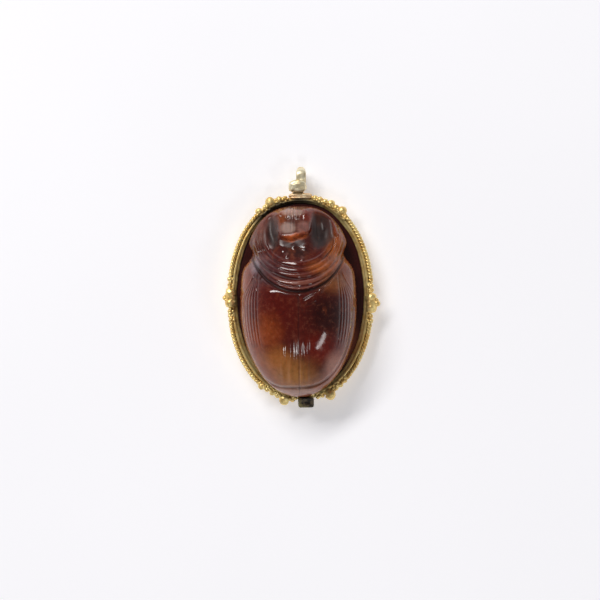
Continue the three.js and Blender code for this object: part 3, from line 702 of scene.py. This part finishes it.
# A worn line along the collar: its place from the middle, depth, width
COLLAR_LINE, COLLAR_LINE_DEPTH, COLLAR_LINE_WIDTH = -0.08, 0.05, 0.05
COLLAR_NECK = (-0.25, 10.38, 1.5)  # solder between the collar and the bead
COLLAR_NECK_HALF = (0.62, 0.24, 0.38)


def collar_mesh():
    low, high = node_box("head_collar")
    points, faces = unit_sphere(5)
    points = np.sign(points) * np.abs(points) ** np.array(COLLAR_POWERS)
    half = (high - low) / 2 * COLLAR_SPREAD
    points *= half * (COLLAR_SHARE + ripples(points, COLLAR_RIPPLE))[:, None]
    groove = bell(points[:, 1] - COLLAR_LINE, COLLAR_LINE_WIDTH) * (points[:, 2] > 0)
    points[:, 2] -= COLLAR_LINE_DEPTH * groove
    points = points + (low + high) / 2
    neck = lump(np.array(COLLAR_NECK), 1.0, 64, 4, COLLAR_NECK_HALF)
    return joined([(points, faces), neck])


LOOP_NARROW, LOOP_NARROW_REACH = 0.45, 0.6  # how much the strap narrows at its far end
LOOP_AROUND, LOOP_ACROSS = 160, 28
LOOP_FLATNESS = (0.75, 0.85)  # powers of the section: across, and through the strap
LOOP_SHARE, LOOP_RIPPLE = 0.985, (0.012, 0.9, 81)


def loop_mesh():
    """A convex strap bent to a ring, whose foot is sunk in the bead."""
    low, high = node_box("suspension_loop")
    centre = np.array([(low[0] + high[0]) / 2, high[1] - LOOP_OUTER, (low[2] + high[2]) / 2])
    half_thick = LOOP_THICK / 2
    middle_radius = LOOP_OUTER - half_thick
    turn = np.linspace(0, 2 * math.pi, LOOP_AROUND, endpoint=False)
    cut = np.linspace(0, 2 * math.pi, LOOP_ACROSS, endpoint=False)
    section_x = np.sign(np.cos(cut)) * np.abs(np.cos(cut)) ** LOOP_FLATNESS[0] * LOOP_HALF_WIDE
    section_r = np.sign(np.sin(cut)) * np.abs(np.sin(cut)) ** LOOP_FLATNESS[1] * half_thick
    radius = middle_radius + section_r[None, :]
    narrow = 1 - LOOP_NARROW * bell(2 * np.sin(turn / 2), LOOP_NARROW_REACH)
    x = section_x[None, :] * narrow[:, None]
    y, z = radius * np.cos(turn)[:, None], radius * np.sin(turn)[:, None]
    points = np.stack([x, y, z], -1)
    points = points * (LOOP_SHARE + ripples(points, LOOP_RIPPLE))[..., None]
    return points.reshape(-1, 3) + centre, ring_faces(LOOP_AROUND, LOOP_ACROSS)


STUB_CUTS, STUB_SQUARENESS = 26, 8
STUB_SHARE, STUB_RIPPLES, STUB_MOST = 0.96, ((0.035, 1.1, 91), (0.02, 0.35, 92)), 0.035
STUB_HOLLOW_AT, STUB_HOLLOW_WIDTH, STUB_HOLLOW_DEPTH = (0.05, 0.1), 0.55, 0.35
STUB_TOP_FROM = 0.5  # the hollow is only in the part above this share of the half height


def stub_mesh():
    """The broken stub: a small corroded block with an uneven hollow in its top."""
    low, high = node_box("tail_stub")
    made = bmesh.new()
    bmesh.ops.create_cube(made, size=2)
    bmesh.ops.subdivide_edges(made, edges=made.edges[:], cuts=STUB_CUTS, use_grid_fill=True)
    points = np.array([v.co[:] for v in made.verts])
    faces = [[v.index for v in f.verts] for f in made.faces]
    made.free()
    points = points / np.linalg.norm(points, ord=STUB_SQUARENESS, axis=1, keepdims=True)
    uneven = np.minimum(ripples(points, *STUB_RIPPLES), STUB_MOST)
    points = points * (STUB_SHARE + uneven)[:, None]
    off = np.hypot(points[:, 0] - STUB_HOLLOW_AT[0], points[:, 1] - STUB_HOLLOW_AT[1])
    points[:, 2] -= STUB_HOLLOW_DEPTH * bell(off, STUB_HOLLOW_WIDTH) * (points[:, 2] > STUB_TOP_FROM)
    return points * (high - low) / 2 + (low + high) / 2, faces


# Materials


def linear(red, green, blue):
    """A colour on the 0 to 255 display scale as linear values."""
    shades = (red, green, blue)
    curve = [((c / 255 + 0.055) / 1.055) ** 2.4 if c > 10 else c / 255 / 12.92 for c in shades]
    return (*curve, 1)


FAR = 40.0  # the upright reach of a colour zone, which makes it even from top to bottom
ZONE_STIR = (0.45, 4, 0.55)  # the noise that makes the edges of the colour zones uneven
CREVICE_SAMPLES = 8


class Nodes:
    """Short calls for building one material's node tree."""

    def __init__(self, name):
        self.material = bpy.data.materials.new(name)
        self.material.use_nodes = True
        self.tree = self.material.node_tree
        self.shader = self.tree.nodes["Principled BSDF"]
        self.object = self.new("ShaderNodeTexCoord").outputs["Object"]

    def new(self, kind, **settings):
        node = self.tree.nodes.new(kind)
        for key, value in settings.items():
            setattr(node, key, value)
        return node

    def link(self, source, target):
        self.tree.links.new(source, target)

    def put(self, socket, value):
        if isinstance(value, bpy.types.NodeSocket):
            self.link(value, socket)
        else:
            socket.default_value = value

    def noise(self, scale, detail=3, roughness=0.5, distortion=0.0, stretch=None):
        """Noise whose scale counts features for each millimetre."""
        node = self.new("ShaderNodeTexNoise")
        source = self.object
        if stretch:
            source = self.vector("MULTIPLY", source, stretch)
        self.link(source, node.inputs["Vector"])
        node.inputs["Scale"].default_value = scale / MM
        node.inputs["Detail"].default_value = detail
        node.inputs["Roughness"].default_value = roughness
        node.inputs["Distortion"].default_value = distortion
        return node.outputs["Fac"]

    def vector(self, operation, first, second):
        node = self.new("ShaderNodeVectorMath", operation=operation)
        self.link(first, node.inputs[0])
        node.inputs[1].default_value = second
        return node.outputs[0]

    def measure(self, name):
        node = self.new("ShaderNodeAttribute", attribute_name=name)
        return node.outputs["Fac"]

    def ramp(self, value, low, high, start=0.0, end=1.0):
        node = self.new("ShaderNodeMapRange", interpolation_type="SMOOTHSTEP")
        self.put(node.inputs["Value"], value)
        for key, number in (("From Min", low), ("From Max", high), ("To Min", start), ("To Max", end)):
            node.inputs[key].default_value = number
        return node.outputs["Result"]

    def along(self, axis, low, high, start=0.0, end=1.0):
        """A ramp along one axis of the amulet, between two places in millimetres."""
        place = self.new("ShaderNodeSeparateXYZ")
        self.link(self.object, place.inputs[0])
        return self.ramp(place.outputs[axis], low * MM, high * MM, start, end)

    def mix(self, factor, first, second):
        node = self.new("ShaderNodeMix", data_type="RGBA")
        self.put(node.inputs[0], factor)
        self.put(node.inputs[6], first)
        self.put(node.inputs[7], second)
        return node.outputs[2]

    def tinted(self, amount, colour, share, shade):
        """A colour moved by an amount toward its mix with a share of a display colour."""
        tint = linear(*shade)
        if share < 1:
            tint = self.mix(share, colour, tint)
        return self.mix(amount, colour, tint)

    def patched(self, colour, zones):
        """A colour with soft zones of display colours laid over it in order."""
        for *zone, shade in zones:
            colour = self.mix(self.zone(*zone), colour, linear(*shade))
        return colour

    def math(self, operation, first, second):
        node = self.new("ShaderNodeMath", operation=operation)
        self.put(node.inputs[0], first)
        self.put(node.inputs[1], second)
        return node.outputs[0]

    def zone(self, centre, reach, waver, softness):
        """1 in the middle of a soft egg-shaped zone, given in millimetres, and 0 outside it."""
        away = self.vector("SUBTRACT", self.object, [c * MM for c in centre])
        shared = self.vector("DIVIDE", away, [r * MM for r in (*reach, FAR)])
        length = self.new("ShaderNodeVectorMath", operation="LENGTH")
        self.link(shared, length.inputs[0])
        stir = self.math("SUBTRACT", self.noise(*ZONE_STIR), 0.5)
        distance = self.math("ADD", length.outputs["Value"], self.math("MULTIPLY", stir, waver))
        return self.ramp(distance, 1.0, 1.0 - softness)

    def bump(self, height, distance, normal=None):
        node = self.new("ShaderNodeBump")
        node.inputs["Strength"].default_value = 1.0
        node.inputs["Distance"].default_value = distance * MM
        self.link(height, node.inputs["Height"])
        if normal is not None:
            self.link(normal, node.inputs["Normal"])
        return node.outputs["Normal"]

    def crevice(self, reach):
        """1 in the open and less in crevices as deep as the reach."""
        node = self.new("ShaderNodeAmbientOcclusion", samples=CREVICE_SAMPLES)
        node.inputs["Distance"].default_value = reach * MM
        return node.outputs["AO"]

    def finish(self, colour, roughness, normal, **plain):
        self.put(self.shader.inputs["Base Color"], colour)
        self.put(self.shader.inputs["Roughness"], roughness)
        if normal is not None:
            self.link(normal, self.shader.inputs["Normal"])
        for key, value in plain.items():
            self.shader.inputs[key.replace("_", " ")].default_value = value
        return self.material


# Zones of the stone's colour, in order: centre, reach, waver, softness, display colour. Some are painted
# light, as marked
STONE_ZONES = (
    ((-2.6, -1.2, 6), (3.2, 4.2), 0.5, 0.9, (92, 20, 12)),
    ((-3.5, -3.6, 5), (2.4, 3.6), 0.6, 0.9, (142, 62, 22)),
    ((2.6, -1.6, 6), (3.3, 3), 0.5, 0.8, (52, 14, 12)),
    ((1.9, -5.2, 6), (2.8, 2.6), 0.5, 0.9, (112, 24, 12)),
    ((-2.4, -6.2, 5), (2.4, 2.2), 0.6, 0.9, (166, 98, 46)),
    ((-0.4, -7.8, 5), (3.6, 2.9), 0.5, 0.95, (176, 116, 58)),
    ((3.4, 1.6, 6), (2.6, 1.7), 0.6, 0.9, (128, 72, 34)),
    ((-3.4, 2.8, 5), (3.2, 2.2), 0.5, 0.9, (80, 34, 36)),
    ((1.9, 3, 6), (1.9, 1.1), 0.4, 0.9, (158, 82, 36)),
    ((3.7, 4.8, 5), (1.9, 2.7), 0.6, 0.8, (164, 86, 34)),
    ((-4.2, 5.6, 4), (1.4, 2.4), 0.5, 0.9, (70, 24, 14)),
    # Painted reflection: a pale lilac sheen on the left shoulder
    ((-4.5, 3.2, 4), (0.7, 1.2), 0.3, 0.8, (150, 130, 138)),
    ((-0.3, 4.5, 5), (2, 1.3), 0.6, 0.9, (62, 30, 26)),
    ((-2.6, 6.6, 4), (0.6, 2.3), 0.3, 0.6, (70, 56, 52)),
    # Painted shade: the right cheek groove made near black
    ((1.95, 6.7, 4), (1, 2.3), 0.3, 0.6, (28, 20, 20)),
    ((3.4, -6.9, 4), (1.5, 2.2), 0.4, 0.9, (196, 136, 116)),
    ((5.3, -5.2, 1.5), (1.2, 3.2), 0.3, 0.8, (104, 50, 32)),
)
# Patches of colour on the clypeus alone; the last is a painted highlight
CLYPEUS_ZONES = (
    ((-2.2, 7.8, 4.5), (1.2, 1.5), 0.5, 0.5, (126, 62, 30)),
    ((1.1, 8.3, 4.5), (1.6, 1), 0.5, 0.5, (124, 44, 30)),
    ((-1.25, 6.9, 4.5), (1, 0.8), 0.8, 0.5, (160, 132, 122)),
    ((0.25, 6.9, 4.5), (0.8, 0.8), 0.8, 0.5, (142, 96, 88)),
    # Painted highlight: the pale front of the clypeus
    ((-0.8, 8.4, 4.5), (1.5, 0.5), 0.7, 0.6, (176, 140, 128)),
)
CLYPEUS_COLOUR = (98, 54, 44)
# The painted glow of light shining through the thin rear edge of the clypeus
CLYPEUS_EDGE_GLOW = (214, 108, 54)
# Places on the head where the polish has worn off: centre, reach, waver, softness
DULL_ZONES = (
    ((-3.6, 6.2, 4.0), (1.2, 2.0), 0.3, 0.5),
    ((-0.8, 5.55, 4.0), (1.7, 0.75), 0.3, 0.5),
)
STONE_DEEP = (88, 26, 18)
STONE_RIM_REFLECTION = (158, 80, 48)
# The paler margin, a painted reflection of the bright floor along the rim, lies outside this zone and
# fades toward the head
MARGIN_ZONE, MARGIN_FADE = ((BEETLE_SHIFT, -0.5, 0), (5.9, 9.6), 0.10, 0.24), (5.5, 1.5, 0.25, 0.75)
PLINTH_COLOUR = (62, 20, 16)
PLINTH_WARM, PLINTH_WARM_COLOUR = ((5.0, -4.8, 1.5), (1.8, 3.4), 0.3, 0.8), (128, 66, 42)
# The pale ledge near the tail, a painted reflection of the bright floor: its zone, its share and its
# colour
LEDGE_ZONE, LEDGE_SHARE, LEDGE_REFLECTION_COLOUR = ((-0.9, -9.1, 4.0), (3.4, 0.7), 0.3, 0.7), 0.5, (206, 172, 160)

# Layers over the colour of the stone: noise, its ramp, the share of the tint, the tint
GRAIN_NOISE = (2.2, 6, 0.7, 0.3)
STONE_LAYERS = (
    ((0.35, 5, 0.6, 0.4), (0.5, 0.72, 0, 0.7), 0.45, (30, 8, 8)),
    ((0.9, 4, 0.6, 0.6, (1.0, 0.35, 1.0)), (0.58, 0.74, 0, 0.35), 1, (150, 70, 36)),
    (GRAIN_NOISE, (0.45, 0.7, 0, 0.45), 0.6, (24, 8, 8)),
    (GRAIN_NOISE, (0.5, 0.3, 0, 0.3), 0.5, (196, 124, 92)),
)
# Layers of painted shade where the carving is cut in: ramp of its relief, the share of the tint, the tint
CUT_SHADE_LAYERS = (
    ((-0.015, -0.06, 0, 0.35), 0.7, (40, 18, 18)),
    ((-0.10, -0.36, 0, 0.7), 1, (40, 22, 20)),
)
# The first colour is painted light on the ridge crests
# The second colour is painted shade in the crevices, with the dirt that lodges there
CREST_LIGHT_COLOUR, STONE_CREVICE_SHADE_AND_DIRT = (176, 118, 100), (26, 15, 14)
WORN_HEAD = ((-0.9, 4.9, 5.0), (2.4, 1.5), 0.4, 0.5)


def carnelian():
    n = Nodes("carnelian")
    colour = n.patched(linear(*STONE_DEEP), STONE_ZONES)
    shield = n.patched(linear(*CLYPEUS_COLOUR), CLYPEUS_ZONES)
    # The rim made paler: painted reflection of the bright floor
    rim_reflection = n.math("MULTIPLY", n.math("SUBTRACT", 1.0, n.zone(*MARGIN_ZONE)), n.along("Y", *MARGIN_FADE))
    colour = n.mix(rim_reflection, colour, linear(*STONE_RIM_REFLECTION))
    # The ledge near the tail made paler: painted reflection
    colour = n.mix(n.math("MULTIPLY", n.zone(*LEDGE_ZONE), LEDGE_SHARE), colour, linear(*LEDGE_REFLECTION_COLOUR))
    colour = n.mix(n.ramp(n.measure("clypeus"), 0.2, 0.9), colour, shield)
    for noise, ramp, share, shade in STONE_LAYERS:
        colour = n.tinted(n.ramp(n.noise(*noise), *ramp), colour, share, shade)
    relief = n.measure("relief")
    # The cut grooves darkened: painted shade
    for ramp, share, shade in CUT_SHADE_LAYERS:
        colour = n.tinted(n.ramp(relief, *ramp), colour, share, shade)
    # Ridge crests behind the collar made paler: painted light on the crests
    crest_light = n.math("MULTIPLY", n.ramp(relief, 0.008, 0.03, 0, 0.3), n.along("Y", 2.6, 1.6))
    colour = n.mix(crest_light, colour, linear(*CREST_LIGHT_COLOUR))
    # Blotchy orange along the clypeus's rear edge: painted glow of light shining through the thin stone
    edge = n.measure("clypeus_edge")
    blotches = n.ramp(n.noise(1.8, 4, 0.6, 0.5), 0.36, 0.58, 0.25, 0.95)
    edge_glow = n.math("MULTIPLY", n.ramp(edge, 0.15, 0.8), blotches)
    colour = n.mix(edge_glow, colour, linear(*CLYPEUS_EDGE_GLOW))
    low = n.along("Z", 2.85, 2.60)
    plinth = n.mix(n.zone(*PLINTH_WARM), linear(*PLINTH_COLOUR), linear(*PLINTH_WARM_COLOUR))
    colour = n.mix(low, colour, plinth)
    # Crevices darkened by ambient occlusion: painted shade, together with the dirt that lodges there
    crevice_shade_and_dirt = n.ramp(n.crevice(0.5), 0.55, 0.15, 0, 0.75)
    colour = n.mix(crevice_shade_and_dirt, colour, linear(*STONE_CREVICE_SHADE_AND_DIRT))
    polish = n.ramp(n.noise(1.3, 4, 0.65), 0.35, 0.75, 0.07, 0.15)
    off_head = n.math("SUBTRACT", 1.0, n.zone(*WORN_HEAD))
    dull = n.math("MULTIPLY", n.ramp(relief, -0.06, -0.22), off_head)
    dull = n.math("MAXIMUM", dull, n.math("MULTIPLY", n.ramp(edge, 0.2, 0.6), 0.7))
    dull = n.math("MAXIMUM", dull, n.math("MULTIPLY", low, 0.4))
    for worn_place in DULL_ZONES:
        dull = n.math("MAXIMUM", dull, n.zone(*worn_place))
    roughness = n.math("ADD", polish, n.math("MULTIPLY", dull, 0.32))
    fine = n.bump(n.noise(2.5, 3, 0.5), 0.0025)
    scratch = n.ramp(n.noise(9.0, 3, 0.7, 0.3, (1.0, 0.12, 1.0)), 0.32, 0.42)
    return n.finish(
        colour,
        roughness,
        n.bump(scratch, 0.0006, fine),
        IOR=1.54,
        Specular_IOR_Level=0.37,
        Subsurface_Weight=0.25,
        Subsurface_Radius=(1.0, 0.35, 0.15),
        Subsurface_Scale=0.9 * MM,
    )


HEAD_END_DARK_REACH = (1.13, 1.047)  # the gold is darker beside the head, within this share of the plinth's oval
WORN_METAL = 0.72  # the fine wear of old gold scatters some of the light


def gold(name, bright, deep, wear, crevice_shade_reach, crevice_shade_share, shade_and_dirt_colour=(38, 26, 14)):
    """Worn gold between two display colours, with its range of roughness, its stains, shade painted into
    its crevices along with their dirt, and darker gold beside the head.
    """
    n = Nodes(name)
    colour = n.mix(n.ramp(n.noise(1.2, 4, 0.6), 0.35, 0.7), linear(*bright), linear(*deep))
    # Crevices darkened by ambient occlusion: painted shade, together with the dirt that lodges there
    crevice_shade_and_dirt = n.ramp(n.crevice(crevice_shade_reach), 0.50, 0.12, 0, crevice_shade_share)
    stain = n.ramp(n.noise(0.8, 5, 0.65), 0.62, 0.76, 0, 0.35)
    # Darker inside the oval beside the head
    lip = n.zone((0, 0, 0), PLINTH_HALF * HEAD_END_DARK_REACH, 0.05, 0.03)
    lip = n.math("MULTIPLY", lip, n.along("Y", 6.4, 8.2))
    lip = n.math("MULTIPLY", lip, n.along("X", 0.5, 2.5, 0.96, 0.6))
    shade_and_dirt = n.math("MAXIMUM", n.math("MAXIMUM", crevice_shade_and_dirt, stain), lip)
    colour = n.mix(shade_and_dirt, colour, linear(*shade_and_dirt_colour))
    metal = n.math("SUBTRACT", WORN_METAL, n.math("MULTIPLY", shade_and_dirt, 0.75))
    n.put(n.shader.inputs["Metallic"], metal)
    worn = n.ramp(n.noise(4.0, 4, 0.6), 0.3, 0.75, *wear)
    roughness = n.math("MAXIMUM", worn, n.math("MULTIPLY", shade_and_dirt, 0.7))
    dents = n.bump(n.noise(2.6, 3, 0.5), 0.012)
    return n.finish(colour, roughness, n.bump(n.noise(9.0, 4, 0.6), 0.003, dents))


# The third colour is a painted highlight on the stub's left and lower edges, kept off the rest by the
# middle zone below
STUB_DARK, STUB_PALE, STUB_EDGE_HIGHLIGHT = (58, 55, 50), (132, 118, 94), (140, 130, 84)
STUB_MIDDLE = ((0.84, -10.14, 1.6), (0.96, 0.74), 0.35, 0.25)


def stub_material():
    n = Nodes("corroded_stub")
    patch = n.noise(1.8, 5, 0.65)
    colour = n.mix(n.ramp(patch, 0.45, 0.62), linear(*STUB_DARK), linear(*STUB_PALE))
    # Paler left and lower edges: painted highlight
    outside = n.math("SUBTRACT", 1.0, n.zone(*STUB_MIDDLE))
    edge = n.math("MULTIPLY", outside, n.ramp(patch, 0.42, 0.56))
    colour = n.mix(edge, colour, linear(*STUB_EDGE_HIGHLIGHT))
    return n.finish(colour, n.ramp(patch, 0.3, 0.7, 0.35, 0.75), n.bump(n.noise(3.0, 5, 0.65), 0.05))


# The pieces


STONE_GRID, QUICK_GRID = (240, 312), (120, 140)  # cells across and along the carved top


def starting(names, prefix):
    return [name for name in names if name.startswith(prefix)]


def build_pieces():
    stone = carnelian()
    yellow = gold("bright_gold", (255, 230, 158), (232, 190, 112), (0.30, 0.52), 0.20, 0.85)
    ruddy = gold("ruddy_gold", (255, 234, 194), (234, 192, 144), (0.34, 0.55), 0.22, 0.7)
    pale = gold("pale_worn_gold", (250, 240, 208), (220, 200, 156), (0.32, 0.50), 0.22, 0.8, (60, 48, 32))
    dull = stub_material()
    grid = STONE_GRID
    points, faces, measures = scarab_mesh(*grid)
    mesh_piece("scarab", points, faces, stone, "carnelian", ["scarab_stone"], measures)
    mesh_piece("bezel", *bezel_mesh(), yellow, "gold", ["bezel_band"])
    names = sorted(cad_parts)
    for number, name in enumerate(starting(names, "rope_wire")):
        made = rope_mesh(name, 31 + 5 * number)
        mesh_piece(name.replace("wire", "twist"), *made, yellow, "gold", [name])
    grains = [name for name in names if "_grain_" in name or name.startswith("side_tip")]
    for number, name in enumerate(grains):
        points, faces = grain_cluster(*node_sphere(name), 100 + 7 * number)
        piece = name.replace("grain", "granule").replace("tip", "tip_granule")
        mesh_piece(piece, kept_inside(points), faces, yellow, "gold", [name])
    for number, name in enumerate(starting(names, "side_boss")):
        made = boss_mesh(name, 300 + 20 * number)
        mesh_piece(name.replace("boss", "double_boss"), *made, yellow, "gold", [name])
    mesh_piece("collar", *collar_mesh(), ruddy, "gold", ["head_collar"])
    mesh_piece("bead", *bead_mesh(), pale, "pale_gold", ["suspension_bead"])
    mesh_piece("loop", *loop_mesh(), pale, "pale_gold", ["suspension_loop"])
    mesh_piece("stub", *stub_mesh(), dull, "corroded_stub", ["tail_stub"])


# The stage

FIELD = 60.0  # millimetres across the picture
LENS = 135.0
SENSOR = 36.0
CLIP = (0.01, 10)  # metres
# The picture's middle, in millimetres of the amulet's own frame
VIEW_CENTRE = (-0.05, -0.2)


def camera():
    data = bpy.data.cameras.new("camera")
    data.lens, data.sensor_width = LENS, SENSOR
    data.clip_start, data.clip_end = CLIP
    seen = bpy.data.objects.new("camera", data)
    bpy.context.scene.collection.objects.link(seen)
    seen.location = (VIEW_CENTRE[0] * MM, VIEW_CENTRE[1] * MM, FIELD / SENSOR * LENS * MM)
    bpy.context.scene.camera = seen


FLOOR_GLOW = 0.315  # a pale floor lit a little from below, which keeps the shadows faint


FLOOR_HALF = 1.2  # metres
FLOOR_DROP = 0.01  # under the amulet, so that the two don't lie in one plane
FLOOR_DARK, FLOOR_PALE, GLOW_COLOUR = (240, 239, 243), (243, 242, 246), (0.97, 0.965, 1.0, 1)


def floor():
    mesh = bpy.data.meshes.new("floor")
    corners = [(x * FLOOR_HALF, y * FLOOR_HALF, 0) for x, y in ((-1, -1), (1, -1), (1, 1), (-1, 1))]
    mesh.from_pydata(corners, [], [(0, 1, 2, 3)])
    n = Nodes("paper_floor")
    colour = n.mix(n.ramp(n.noise(0.02, 2, 0.5), 0.3, 0.7), linear(*FLOOR_DARK), linear(*FLOOR_PALE))
    glow = {"Emission_Color": GLOW_COLOUR, "Emission_Strength": FLOOR_GLOW}
    mesh.materials.append(n.finish(colour, 0.9, None, **glow))
    plane = bpy.data.objects.new("floor", mesh)
    plane.location = (0, 0, -FLOOR_DROP * MM)
    bpy.context.scene.collection.objects.link(plane)


# Soft lights: name, direction, distance and size in metres, power, colour
LIGHTS = (
    ("upper_left_softbox", (-0.40, 0.60, 0.72), 0.5, (0.40, 0.075), 1.65, (1.0, 0.99, 0.97)),
    ("lower_softbox", (-0.02, -0.54, 0.84), 0.35, (0.035, 0.05), 0.10, (1, 1, 1)),
    ("lower_right_softbox", (0.60, -0.42, 0.68), 0.35, (0.085, 0.04), 0.08, (1, 1, 1)),
)


def area_light(name, toward, distance, size, power, colour):
    data = bpy.data.lights.new(name, "AREA")
    data.shape = "ELLIPSE"
    data.size, data.size_y = size
    data.energy, data.color = power, colour
    lamp = bpy.data.objects.new(name, data)
    direction = Vector(toward).normalized()
    lamp.location = direction * distance
    lamp.rotation_euler = direction.to_track_quat("Z", "Y").to_euler()
    bpy.context.scene.collection.objects.link(lamp)


# Brightness of the walls at rising heights, from 0 at the horizon to 1 overhead
HORIZON, OVERHEAD = (0.78, 0.78, 0.79, 1), (0.10, 0.10, 0.105, 1)
WALL_SHADES = ((0.08, 0.75), (0.22, 0.36), (0.45, 0.20), (0.8, 0.12))
WALL_BLUE = 1.02  # the walls are this much bluer than grey


def surroundings():
    """Pale walls all round, and a dimmer ceiling above the camera."""
    world = bpy.data.worlds.new("studio")
    world.use_nodes = True
    tree = world.node_tree
    place = tree.nodes.new("ShaderNodeTexCoord")
    split = tree.nodes.new("ShaderNodeSeparateXYZ")
    ramp = tree.nodes.new("ShaderNodeValToRGB")
    tree.links.new(place.outputs["Generated"], split.inputs[0])
    tree.links.new(split.outputs["Z"], ramp.inputs[0])
    stops = ramp.color_ramp
    stops.elements[0].position, stops.elements[0].color = 0.0, HORIZON
    stops.elements[1].position, stops.elements[1].color = 1.0, OVERHEAD
    for height, shade in WALL_SHADES:
        stops.elements.new(height).color = (shade, shade, shade * WALL_BLUE, 1)
    back = tree.nodes["Background"]
    back.inputs["Strength"].default_value = 1.0
    tree.links.new(ramp.outputs[0], back.inputs["Color"])
    bpy.context.scene.world = world


def stage():
    camera()
    floor()
    surroundings()
    for light in LIGHTS:
        area_light(*light)
    bpy.context.scene.view_settings.view_transform = "Standard"


stage()
build_pieces()
